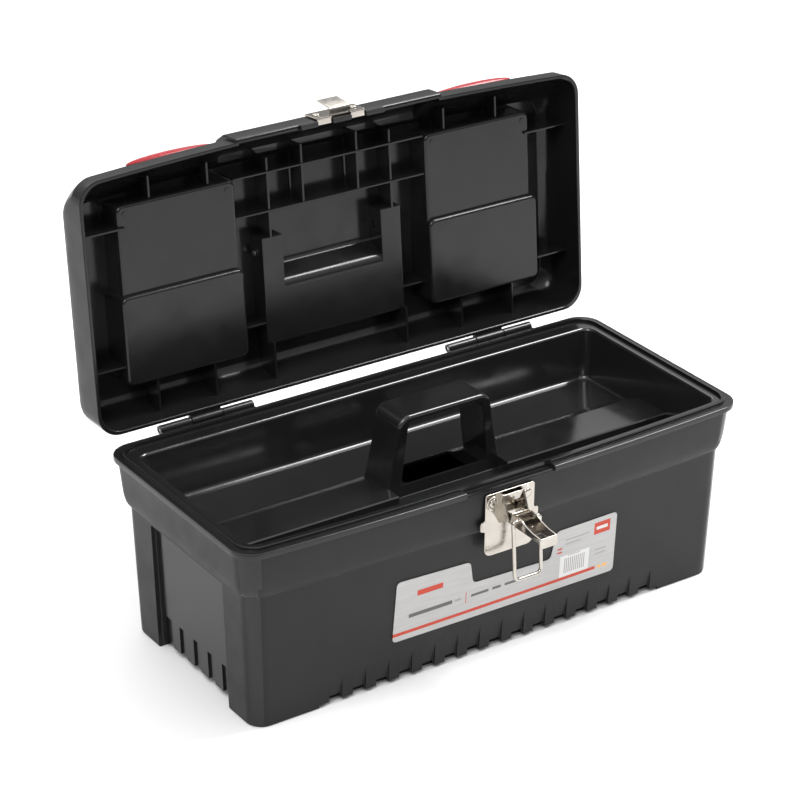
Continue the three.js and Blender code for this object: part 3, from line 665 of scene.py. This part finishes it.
def tray_mesh():
    outer = [
        tray_wall(TRAY_FLOOR - 2, False, 1.6), tray_wall(TRAY_FLOOR - 1.5, False, 0.4),
        tray_wall(TRAY_FLOOR - 0.4, False), tray_wall(TRAY_TOP - 1.8, False),
        lip(TRAY_TOP - 1.6, 12), lip(TRAY_TOP - 1.6, 7.4), lip(TRAY_TOP - 1.4, 7.3),
    ]
    top = [
        lip(TRAY_TOP - 0.35, 7.3), lip(TRAY_TOP - 0.1, 7.4), lip(TRAY_TOP, 7.7),
        tray_wall(TRAY_TOP, True, -1.9), tray_wall(TRAY_TOP - 0.15, True, -1.1),
        tray_wall(TRAY_TOP - 0.8, True, -0.35), tray_wall(TRAY_TOP - 1.8, True),
    ]
    floor = [
        tray_wall(TRAY_FLOOR + 3.0, True), tray_wall(TRAY_FLOOR + 1.4, True, 0.35),
        tray_wall(TRAY_FLOOR + 0.4, True, 1.3), tray_wall(TRAY_FLOOR, True, 3.0),
    ]
    tub = loft(outer + top + floor)
    platform = [
        (-27, TRAY_FLOOR - 0.5), (24, TRAY_FLOOR - 0.5), (16, TRAY_FLOOR + 2), (12, TRAY_FLOOR + 4.2),
        (9, PLATFORM - 2), (6.6, PLATFORM - 0.6), (4, PLATFORM), (-26.2, PLATFORM), (-27, PLATFORM - 0.8),
    ]
    strip = prism("x", (-190, 190), platform)
    inside = loft([tray_wall(TRAY_FLOOR - 1.0, True, -0.6), tray_wall(TRAY_TOP - 4, True, -0.6)])
    tub = join(tub, common(strip, inside))
    tub = cut(tub, block((-44, 44), (-33, -16), (TRAY_FLOOR, PLATFORM + 9), 0.8))
    handle = prism("y", (-16, 13), arch(44.5, 36, TRAY_FLOOR - 0.5, HANDLE_TOP, 8, 3.0), 2.2, 4)
    opening = prism("y", (-40, 40), arch(37, 29, TRAY_FLOOR - 9, HANDLE_TOP - 4.4, 5))
    handle = cut(handle, opening)
    hole = block((-30, 30), (-14, 22), (TRAY_FLOOR - 9, PLATFORM + 5), 1.5)
    return join(cut(tub, hole), rounded(handle, 0.9, 2, 50))


# ---- lid, drawn closed ----
BOSS_HALF = 82
BOSS_WALL = 3.4
WELL_DEPTH = 18.6  # lid edge to the underside of the handle well
UNDER_PANEL = 35.0  # inside the thickness of the top panel
WEB = 0.8  # half the thickness of a rib
WELL_X = (39.6, 56)
BOSS_FACE = -92
TAB_ROOM = 0.3


def lid_skin(grow=0.0):
    """Outside of the lid."""
    return [
        lip(D(0), -grow), lip(D(12), 0.3 - grow), lip(D(20), 0.5 - grow, 4.6, 5.5 - grow),
        lip(D(26), 1.2 - grow, 4.2, 10.5 - grow), lip(D(31), 3.2 - grow, 4, 14.8 - grow),
        lip(D(34.6 + grow / 2), 7 - grow, 3.8, 18.6 - grow),
        lip(D(36.5 + grow), 12.5 - grow, 3.6, 23.5 - grow),
    ]


def boss(shift, half, low):
    """The raised middle of the lid's front, as an outline in y and z."""
    outline = [
        (-60, D(low)), (BOSS_FACE + shift, D(low)), (BOSS_FACE + shift, D(14)), (-91 + shift, D(17.5)),
        (-86 + shift, D(26)), (-81 + shift, D(30.2)), (-76 + shift, D(33 - 0.4 * shift)),
        (-60, D(36.4 - shift)),
    ]
    return prism("x", (-half, half), outline, 1.6 if shift == 0 else 0.0, 3)


def hanging(side, x, y, depth, draft):
    """A block that hangs from the top panel into the lid, with a rounded free face."""
    half, deep = (x[1] - x[0]) / 2, (y[1] - y[0]) / 2

    def level(d, grow):
        return (D(d), half + grow, deep + grow, deep + grow, 5.0 + grow, 0.0)

    mesh = loft([
        level(depth, -2.2), level(depth + 0.25, -1.3), level(depth + 0.8, -0.55),
        level(depth + 1.6, -0.12), level(depth + 2.6, 0.0), level(UNDER_PANEL, draft),
    ])
    mesh.transform(Matrix.Translation((side * (x[0] + x[1]) / 2, (y[0] + y[1]) / 2, 0)))
    return mesh


def rib(x, y, low, high=34.5):
    return block(x, y, (D(low), D(high)), 0.35)


def lid_webs():
    """Thin ribs across the middle and webs out to the side walls."""
    def thin(middle):
        return (middle - WEB, middle + WEB)

    webs = [rib((-76, 76), thin(y), 17) for y in (-58.9, -31.9)]
    webs += [rib(thin(x), (-68.9, -12.5), 18) for x in (-49, 49)]
    webs += [rib(thin(x), (-73, -31.9), 17.5, 32) for x in (-22, 22)]
    for s in (-1, 1):
        webs += [rib(both(160, 195.8, s), thin(y), 13) for y in (-45, 49)]
        webs += [rib(thin(s * x), (60, 87), 13) for x in (54, 101, 145)]
        webs += [rib(thin(s * x), (-75, -58), 18, 32) for x in (94.5, 138.5)]
        webs.append(rib(both(54, 77, s), (46.2, 47.8), 19))
    return webs


def lid_blocks():
    """The pockets and the handle well, as they hang inside the lid."""
    blocks = []
    for s in (-1, 1):
        blocks.append(hanging(s, (75, 168), (1.1, 63), 11, 1.0))
        blocks.append(hanging(s, (76, 165), (-60, 9.1), 15, 0.5))
        blocks.append(block(both(*WELL_X, s), (-13.5, 30), (D(WELL_DEPTH), D(UNDER_PANEL)), 0.8))
    front_edge = bend_pairs((18.6, 22.5), (21.1, WELL_DEPTH), (25.6, WELL_DEPTH), 8)
    side_view = front_edge + [(62.6, WELL_DEPTH), (62.6, UNDER_PANEL), (10.5, UNDER_PANEL)]
    blocks.append(prism("x", (-WELL_X[1], WELL_X[1]), [(y, D(d)) for y, d in side_view], 0.8))
    fillet = bend_pairs((12.9, 31.3), (11.2, 33.9), (8.1, 33.9), 6) + [(8.1, 34.8), (13.2, 34.8)]
    blocks.append(prism("x", (-39.8, 39.8), [(y, D(d)) for y, d in fillet]))
    return blocks


def lid_walls():
    """The lid as a bare shell with its raised middle."""
    low = D(0)
    ceiling = smooth([
        lip(D(12), 2.9), lip(D(20), 3.4, 4.6, 8.4), lip(D(26), 4.6, 4.2, 13.8),
        lip(D(31), 8.0, 4, 19.6), lip(D(33.9), 13.0, 3.8, 24.6),
    ])
    edge = [
        lip(low + 0.4, 2.6), lip(low, 2.2), lip(low, 0.5), lip(low + 0.15, 0.15), lip(low + 0.5, 0),
    ]
    shell = loft(list(reversed(ceiling)) + edge + smooth(lid_skin()[1:]))
    core = loft([lip(D(-3), 2.3), lip(low, 2.3)] + [
        (z, length + 0.3, back + 0.3, front + 0.3, radius, bow)
        for z, length, back, front, radius, bow in ceiling
    ])
    hollow = boss(BOSS_WALL, 79.4, -1)
    return join(cut(shell, hollow.copy()), cut(boss(0, BOSS_HALF, 0), hollow, core))


def tongue():
    """The strip that drops into the rim notch, cut away round the catch tabs."""
    strip = block((2 - NOTCH_HALF, NOTCH_HALF - 2), (BOSS_FACE, BOSS_FACE + 3.4), (D(-3), D(0.5)), 0.3)
    room = [
        block((x0 - TAB_ROOM, x1 + TAB_ROOM), (-99, -80), (D(-9), D(0))) for x0, x1 in CATCH_TABS
    ]
    return cut(strip, *room)


def lid_mesh():
    shell = lid_walls()
    outside = loft([lip(D(0.2), 0.3)] + lid_skin(-0.3)[1:])
    for part in lid_blocks() + lid_webs():
        shell = join(shell, common(part, outside.copy()))
    for s in (-1, 1):
        for x in (82, 159):
            shell = join(shell, bar("z", (D(14.6), D(15.5)), (s * x, -54), 1.9, 24, 0.25))
        shell = join(shell, bar("x", both(55.5, 57.2, s), PIVOT, 4.2, 32, 0.4))
    shell = join(shell, tongue())
    for x in HINGE_X:
        start = x - THIRD / 2 + GAP
        shell = join(shell, knuckle(start, THIRD - 2 * GAP, (EDGE + 0.01, HINGE_Z + 3)))
        shell = cut(shell, bar("x", (x - 60, x + 60), (HINGE_Y, HINGE_Z), HINGE_BORE))
    above = D(60)
    for s in (-1, 1):
        for x in (both(74.4, 76.7, s), both(167.3, 169.6, s)):
            shell = join(shell, block(x, (63.4, 68.6), (D(34), D(40)), 0.7))
        shell = cut(shell, block(both(79, 163, s), (4, 59), (D(13.2), above), 2.5, 3))
        shell = cut(shell, block(both(79, 161, s), (-57, 5.1), (D(17.2), above), 2.5, 3))
        shell = cut(shell, block(both(42, 53.5, s), (-11.1, 52.6), (D(21), above), 0.8))
        shell = cut(shell, bar("y", (-120, -80), (CATCH_RIVET_X * s, D(CATCH_RIVET_D)), 1.8))
    well = [(22.4, D(21)), (60.1, D(21)), (60.1, above), (12.1, above), (12.1, D(37))]
    shell = cut(shell, prism("x", (-53.5, 53.5), well, 0.8))
    shell = cut(shell, bar("x", (-60, 60), PIVOT, 2.3))
    return cut(shell, bar("x", (-FAR, FAR), COVER_HINGE, 1.3))


# ---- organiser covers and carry handle ----
COVER_HINGE = (66, D(38))
COVER_X = (77, 167)
COVER_TOP = 39.2
COVER_FOOT = 36.8
SNAP_X = 119


def slab(x, y, z, radius, edge):
    """A flat plate with rounded corners in plan and a soft upper edge."""
    half, deep = (x[1] - x[0]) / 2, (y[1] - y[0]) / 2
    foot, top = z

    def level(height, inset):
        return (height, half - inset, deep - inset, deep - inset, radius - inset, 0.0)

    mesh = loft([
        level(foot, 0.3), level(foot + 0.3, 0), level(top - edge, 0),
        level(top - edge * 0.4, edge * 0.12), level(top - edge * 0.1, edge * 0.45), level(top, edge),
    ])
    mesh.transform(Matrix.Translation(((x[0] + x[1]) / 2, (y[0] + y[1]) / 2, 0)))
    return mesh


def cover_mesh(side):
    """A red cover: flat panel with a framed field, a flap down the front and a thumb swell."""
    x = both(*COVER_X, side)
    middle = SNAP_X * side
    foot, top = D(COVER_FOOT), D(COVER_TOP)
    flap = [
        (-50, foot), (-50, top), (-66.5, top), (-69.8, D(37.9)), (-72.4, D(36)), (-77, D(32)),
        (-81.2, D(26.8)), (-85.6, D(20.8)), (-86.2, D(18.6)), (-80, D(18)),
    ]
    skin = slab(x, (-58, COVER_HINGE[0]), (foot, top), 4.0, 0.9)
    skin = join(skin, prism("x", (middle - 26, middle + 26), flap, 0.8, 3))
    skin = join(skin, dome((middle, -84.6, D(19.5)), (34, 3.4, 3.8)))
    skin = cut(skin, slab(both(83, 161, side), (-46, 57), (D(38.6), D(42)), 3.0, 0.3))
    for step in range(-3, 4):
        grip = middle + 6 * step
        skin = join(skin, block((grip - 0.8, grip + 0.8), (-64.5, -52), (D(38.9), D(39.8)), 0.35))
    for column in (100, 122, 144):
        line = side * column
        skin = join(skin, block((line - 0.7, line + 0.7), (-44, 55), (D(38.3), D(38.95)), 0.25))
    shape = cut(skin, loft([lip(D(-5), -0.3)] + smooth(lid_skin(0.3), 3)))
    shape = join(shape, bar("x", (x[0] + 0.4, x[1] - 0.4), COVER_HINGE, 1.2, 24, 0.2))
    return join(shape, bar("x", both(75.4, 168.6, side), COVER_HINGE, 1.0, 24, 0.2))


def dome(centre, radii):
    """A rounded thumb swell."""
    rows, count = 12, 48
    x, y, z = centre
    points, faces = [], []
    for i in range(1, rows):
        a = math.pi * i / rows
        for j in range(count):
            b = 2 * math.pi * j / count
            points.append((
                x + radii[0] * math.sin(a) * math.cos(b),
                y + radii[1] * math.sin(a) * math.sin(b),
                z - radii[2] * math.cos(a),
            ))
    points += [(x, y, z - radii[2]), (x, y, z + radii[2])]
    low, high = len(points) - 2, len(points) - 1
    last = (rows - 2) * count
    for j in range(count):
        k = (j + 1) % count
        faces.append((low, k, j))
        for row in range(0, last, count):
            faces.append((row + j, row + k, row + k + count, row + j + count))
        faces.append((high, last + j, last + k))
    return raw(points, faces)


def carry_handle_mesh():
    grip = block((-52, 52), (38.5, 57.5), (D(22), D(36)), 3.2, 4)
    for s in (-1, 1):
        x = both(43.4, 52, s)
        grip = join(grip, block(x, (PIVOT[0], 42), (D(23.5), D(33)), 1.4, 3))
        grip = join(grip, bar("x", x, PIVOT, 5.4, 40, 0.8))
    for x in range(-30, 31, 6):
        grip = cut(grip, block((x - 1, x + 1), (44, 60), (D(35.2), D(40)), 0.3))
    return cut(grip, bar("x", (-60, 60), PIVOT, 2.3))


# ---- latch, catch and pins ----
PLATE_Y = -89.2
LEVER_PIVOT = (-95.5, 109.4)
BAIL_PIVOT = (-107.0, 110.9)
BAIL_FOOT = (-110.6, 70.4)
WIRE_R = 1.3
EAR_X = (7.4, 8.6)
LEVER_HALF = 6.8
LEVER_BORE = 1.5
ACROSS = (-20, 20)  # wider than the latch
CATCH_BACK = -92.3
TAB_REACH = -88.9


def turned(x, z, profile, sides=28):
    """A round part on an axis along y, from (y, radius) pairs going towards -y."""
    turn = 2 * math.pi / sides
    return stitched([
        [(x + r * math.cos(j * turn), y, z + r * math.sin(j * turn)) for j in range(sides)]
        for y, r in profile
    ])


def tube(path, radius, sides=20):
    """A wire along a path of points, with flat ends."""
    rings = []
    side = Vector((0, 1, 0))
    turn = 2 * math.pi / sides
    for i, point in enumerate(path):
        ahead = (path[min(i + 1, len(path) - 1)] - path[max(i - 1, 0)]).normalized()
        side = (side - ahead * side.dot(ahead)).normalized()
        across = ahead.cross(side)
        rings.append([
            point + radius * (side * math.cos(j * turn) + across * math.sin(j * turn))
            for j in range(sides)
        ])
    return stitched(rings)


def bail_mesh():
    """The wire loop: two short pivots, two arms and a cross bar."""
    half, reach = 10.5, 4.0
    top, foot = Vector((0, *BAIL_PIVOT)), Vector((0, *BAIL_FOOT))
    down = (foot - top).normalized()
    length = (foot - top).length

    def at(x, along):
        return Vector((x, 0, 0)) + top + down * along

    left = [at(-5.2, 0)] + corner(at(-8.6, 0), at(-half, 0), at(-half, 1.9))
    left += corner(at(-half, length - reach), at(-half, length), at(reach - half, length))
    right = [Vector((-p.x, p.y, p.z)) for p in reversed(left)]
    return tube(left + right, WIRE_R)


def plate_mesh():
    """The base plate with side lugs, bracket ears, a bridge and two rivet swells."""
    z0, z1 = 79.9, 124.9
    half = [
        (10.5, z0), (14.5, z0), (17.0, z0 + 0.7), (18.8, z0 + 2.5), (19.5, z0 + 5),
        (19.5, 97.9), (20.4, 98.7), (22.0, 98.9), (23.0, 99.9),
        (23.0, 104.9), (22.0, 105.9), (20.4, 106.1), (19.5, 106.9),
        (19.5, z1 - 1.2), (18.3, z1),
    ]
    outline = half + [(-x, z) for x, z in reversed(half)]
    plate = prism("y", (PLATE_Y, PLATE_Y + SHEET), outline, 0.4, 3)
    y, z = LEVER_PIVOT
    ear = [
        (PLATE_Y + 0.5, z - 7.5), (y, z - 3.4), (y - 1.6, z - 3.0), (y - 2.6, z - 2),
        (y - 3.2, z - 0.7), (y - 3.2, z + 0.6), (y - 2.2, z + 3), (-92.5, z + 14.5),
        (PLATE_Y + 0.5, z + 15.1),
    ]
    for side in (-1, 1):
        plate = join(plate, prism("x", both(*EAR_X, side), ear, 0.3))
    bridge = block((-EAR_X[1], EAR_X[1]), (-92.6, -91.2), (z + 8.5, z + 14.1), 0.5, 3)
    plate = join(plate, bridge)
    swell = [(0.3, 5.2), (-0.15, 5.0), (-0.35, 4.2), (-0.35, 3.3), (-0.1, 2.9)]
    for x in (-LATCH_RIVET_X, LATCH_RIVET_X):
        plate = join(plate, turned(x, RIVET_Z, [(PLATE_Y + out, r) for out, r in swell]))
        plate = cut(plate, bar("y", (-120, -70), (x, RIVET_Z), 1.9))
    return cut(plate, bar("x", ACROSS, LEVER_PIVOT, LEVER_BORE))


def lever_mesh():
    """The channel lever: floor, two cheeks and a lip turned down at the tip."""
    y, z = LEVER_PIVOT
    tip = -130.0
    cheek = [
        (y + 3, z - 3), (tip, z - 3.2), (tip, z - 0.6), (y - 27, z - 0.1), (y - 20, z + 1.4),
        (BAIL_PIVOT[0] - 4.4, BAIL_PIVOT[1] + 1.8), (BAIL_PIVOT[0] - 2.2, BAIL_PIVOT[1] + 2.7),
        (BAIL_PIVOT[0] + 2.6, BAIL_PIVOT[1] + 2.7), (y, z + 3), (y + 2.1, z + 2.3), (y + 3, z + 0.6),
    ]
    width = (-LEVER_HALF, LEVER_HALF)
    lever = block(width, (tip, y + 1.5), (z - 4.2, z - 3.0), 0.35, 3)
    for span in ((-LEVER_HALF, -5.6), (5.6, LEVER_HALF)):
        lever = join(lever, prism("x", span, cheek, 0.35, 3))
    lever = join(lever, block(width, (tip - SHEET, tip + 0.02), (z - 8, z - 0.6), 0.45, 3))
    lever = cut(lever, bar("x", ACROSS, LEVER_PIVOT, LEVER_BORE))
    return cut(lever, bar("x", ACROSS, BAIL_PIVOT, WIRE_R + GAP))


def catch_mesh():
    """The flange on the lid's front with two folded tabs and the hook."""
    back = CATCH_BACK
    face = back - SHEET
    catch = block((-19.4, 19.4), (face, back), (D(1), D(15)), 0.35, 3)
    for x in CATCH_TABS:
        catch = join(catch, block(x, (face, back), (D(-1.3), D(2)), 0.3))
        catch = join(catch, block(x, (face, TAB_REACH), (D(-1.3), D(-0.3)), 0.3))
    hook = [
        (back - 1, D(0.4)), (-96.9, D(0.7)), (-98.3, D(1.5)), (-99.1, D(3)), (-100.6, D(17)),
        (-99.4, D(17)), (-97.9, D(3.6)), (-97.5, D(2.8)), (-96.9, D(2.3)), (back - 1, D(1.7)),
    ]
    catch = join(catch, prism("x", (-8, 8), hook, 0.35, 3))
    for x in (-CATCH_RIVET_X, CATCH_RIVET_X):
        catch = cut(catch, bar("y", (-120, -80), (x, D(CATCH_RIVET_D)), 1.8))
    return catch


def rivet_mesh(x, z, face, inner, head, shank, flange):
    """Domed head at face, shank, and the upset end on the inside."""
    dome_rings = [
        (face - 1.3 + 1.0 * (1 - math.cos(a)), head * math.sin(a))
        for a in (1.5708, 1.25, 1.0, 0.7, 0.35)
    ]
    shaft = [
        (inner + 0.5, flange - 0.3), (inner + 0.2, flange), (inner - 0.2, flange),
        (inner - 0.5, flange - 0.3), (inner - 0.5, shank), (face - GAP, shank), (face - GAP, head),
    ]
    return turned(x, z, shaft + dome_rings)


LABEL_CORNERS = (
    (-84, 32), (96, 30), (96, 76), (45, 76), (41, 56), (-22, 58), (-25, 75), (-82, 77),
)
LABEL_ROUNDING = 3.5


def label_mesh():
    """The printed sheet, lying on the tub's front."""
    outline = []
    for i, here in enumerate(LABEL_CORNERS):
        before, after = LABEL_CORNERS[i - 1], LABEL_CORNERS[(i + 1) % len(LABEL_CORNERS)]
        p, q, r = Vector(before), Vector(here), Vector(after)
        start = q + (p - q).normalized() * LABEL_ROUNDING
        end = q + (r - q).normalized() * LABEL_ROUNDING
        outline += bend_pairs(start, q, end, 6)
    sheet = cut(loft(body_skin(0.7)), loft(body_skin(0.3)))
    return common(sheet, prism("y", (-FAR, -60), outline))


# ---- pieces ----
def build():
    tub = polish_inside(body_mesh(), body_skin(), 1)
    piece("tub", tub, "body", "shell_plastic", ["body_shell"], inner=INSIDE)
    piece("lift_tray", tray_mesh(), "tray_body", "tray_plastic", ["tray"])
    cap = polish_inside(lid_mesh(), lid_skin(), 0, 3.0)
    piece("lid", cap, "lid", "shell_plastic", ["lid_shell"], True, inner=INSIDE)
    piece("lid_handle", carry_handle_mesh(), "handle", "shell_plastic", ["carry_handle"], True)
    piece("plate", plate_mesh(), "body", "latch_steel", ["latch_plate"])
    piece("lever_channel", lever_mesh(), "lever", "latch_steel", ["latch_lever"])
    piece("bail_wire", bail_mesh(), "bail", "latch_steel", ["latch_bail"])
    piece("catch", catch_mesh(), "lid", "latch_steel", ["latch_catch"], True)
    pivot = bar("x", (-9, 9), LEVER_PIVOT, 1.2, 28, 0.3)
    piece("pivot_pin", pivot, "body", "latch_steel", ["latch_pivot_pin"])
    piece("label", label_mesh(), "body", "label_film", ["front_label"])
    for side, word in ((-1, "left"), (1, "right")):
        x = HINGE_X[0 if side < 0 else 1]
        pin = bar("x", (x - 35.5, x + 35.5), (HINGE_Y, HINGE_Z), HINGE_ROD, 24, 0.25)
        piece(f"hinge_rod_{word}", pin, "body", "pin_steel", [f"hinge_pin_{word}"])
        pin = bar("x", both(43.4, 57.5, side), PIVOT, 2.0, 28, 0.3)
        piece(f"grip_rod_{word}", pin, "lid", "pin_steel", [f"handle_pin_{word}"], True)
        rivet = rivet_mesh(LATCH_RIVET_X * side, RIVET_Z, PLATE_Y, -79.7, 3.1, 1.6, 2.8)
        piece(f"plate_rivet_{word}", rivet, "body", "latch_steel", [f"latch_rivet_{word}"])
        x, z = CATCH_RIVET_X * side, D(CATCH_RIVET_D)
        rivet = rivet_mesh(x, z, CATCH_BACK - SHEET, -87.7, 2.9, 1.5, 2.7)
        piece(f"hook_rivet_{word}", rivet, "lid", "latch_steel", [f"catch_rivet_{word}"], True)
        node = f"organiser_cover_{word}"
        piece(f"cover_{word}_red", cover_mesh(side), f"cover_{word}", "cover_plastic", [node], True)


build()


# ---- stage ----
CAMERA_AZIMUTH = -34.42
CAMERA_ELEVATION = 26.30
CAMERA_ROLL = 0.63
CAMERA_DISTANCE = 1.848
CAMERA_SHIFT = (-0.02116, 0.06643)
CAMERA_LENS = 123.57
AIM_HEIGHT = 0.0769


def make_camera():
    azimuth, elevation = math.radians(CAMERA_AZIMUTH), math.radians(CAMERA_ELEVATION)
    roll = math.radians(CAMERA_ROLL)
    back = Vector((
        math.sin(azimuth) * math.cos(elevation),
        -math.cos(azimuth) * math.cos(elevation),
        math.sin(elevation),
    ))
    right = (-back).cross(Vector((0, 0, 1))).normalized()
    up = right.cross(-back)
    place = Vector((0, 0, AIM_HEIGHT)) + back * CAMERA_DISTANCE
    place += right * CAMERA_SHIFT[0] + up * CAMERA_SHIFT[1]
    x = math.cos(roll) * right + math.sin(roll) * up
    y = -math.sin(roll) * right + math.cos(roll) * up
    data = bpy.data.cameras.new("camera")
    data.lens = CAMERA_LENS
    data.sensor_width = 36
    data.clip_end = 20
    camera = bpy.data.objects.new("camera", data)
    scene.collection.objects.link(camera)
    turn = Matrix((x, y, back)).transposed().to_4x4()
    camera.matrix_world = Matrix.Translation(place) @ turn
    scene.camera = camera


def make_floor():
    bpy.ops.mesh.primitive_plane_add(size=8)
    floor = bpy.context.object
    floor.name = "floor"
    n = Nodes("floor")
    n.put("Base Color", (0.88, 0.88, 0.88, 1))
    n.put("Roughness", 0.6)
    floor.data.materials.append(n.material)


def area(name, place, target, size, power):
    data = bpy.data.lights.new(name, "AREA")
    data.shape = "RECTANGLE"
    data.size, data.size_y = size
    data.energy = power
    light = bpy.data.objects.new(name, data)
    scene.collection.objects.link(light)
    light.location = place
    light.rotation_euler = (Vector(target) - Vector(place)).to_track_quat("-Z", "Y").to_euler()


def make_world():
    """A bright studio: light from above and behind, dimmer from the camera's side."""
    world = bpy.data.worlds.new("studio")
    world.use_nodes = True
    tree = world.node_tree
    background = tree.nodes["Background"]
    place = tree.nodes.new("ShaderNodeTexCoord").outputs["Generated"]
    split = tree.nodes.new("ShaderNodeSeparateXYZ")
    tree.links.new(place, split.inputs[0])

    def ramp(value, start, end, low, high):
        node = tree.nodes.new("ShaderNodeMapRange")
        node.interpolation_type = "SMOOTHSTEP"
        for i, v in enumerate((start, end, low, high)):
            node.inputs[i + 1].default_value = v
        tree.links.new(value, node.inputs[0])
        return node.outputs[0]

    def combine(operation, a, b):
        node = tree.nodes.new("ShaderNodeMath")
        node.operation = operation
        tree.links.new(a, node.inputs[0])
        tree.links.new(b, node.inputs[1])
        return node.outputs[0]

    above = ramp(split.outputs[2], -0.05, 0.9, 0.05, 1.2)
    behind = ramp(split.outputs[1], -0.5, 0.7, 0.0, 0.15)
    left = ramp(split.outputs[0], 0.2, -0.9, 0.0, 0.14)
    light = combine("ADD", combine("ADD", above, behind), left)
    seen = tree.nodes.new("ShaderNodeLightPath").outputs["Is Camera Ray"]
    white = tree.nodes.new("ShaderNodeMix")
    tree.links.new(seen, white.inputs[0])
    tree.links.new(light, white.inputs[2])
    white.inputs[3].default_value = 1.0
    background.inputs[0].default_value = (1, 1, 1, 1)
    tree.links.new(white.outputs[0], background.inputs[1])
    scene.world = world


def make_light():
    make_world()
    area("key", (-1.2, -0.9, 1.9), (0, 0, 0.1), (0.9, 0.9), 22)
    area("rim", (0.4, 1.7, 1.5), (0, 0, 0.15), (2.0, 0.7), 7.5)
    area("edge", (1.15, -0.15, 1.65), (0, 0, 0.1), (0.6, 0.8), 34)


scene.view_settings.view_transform = "Standard"
make_camera()
make_floor()
make_light()
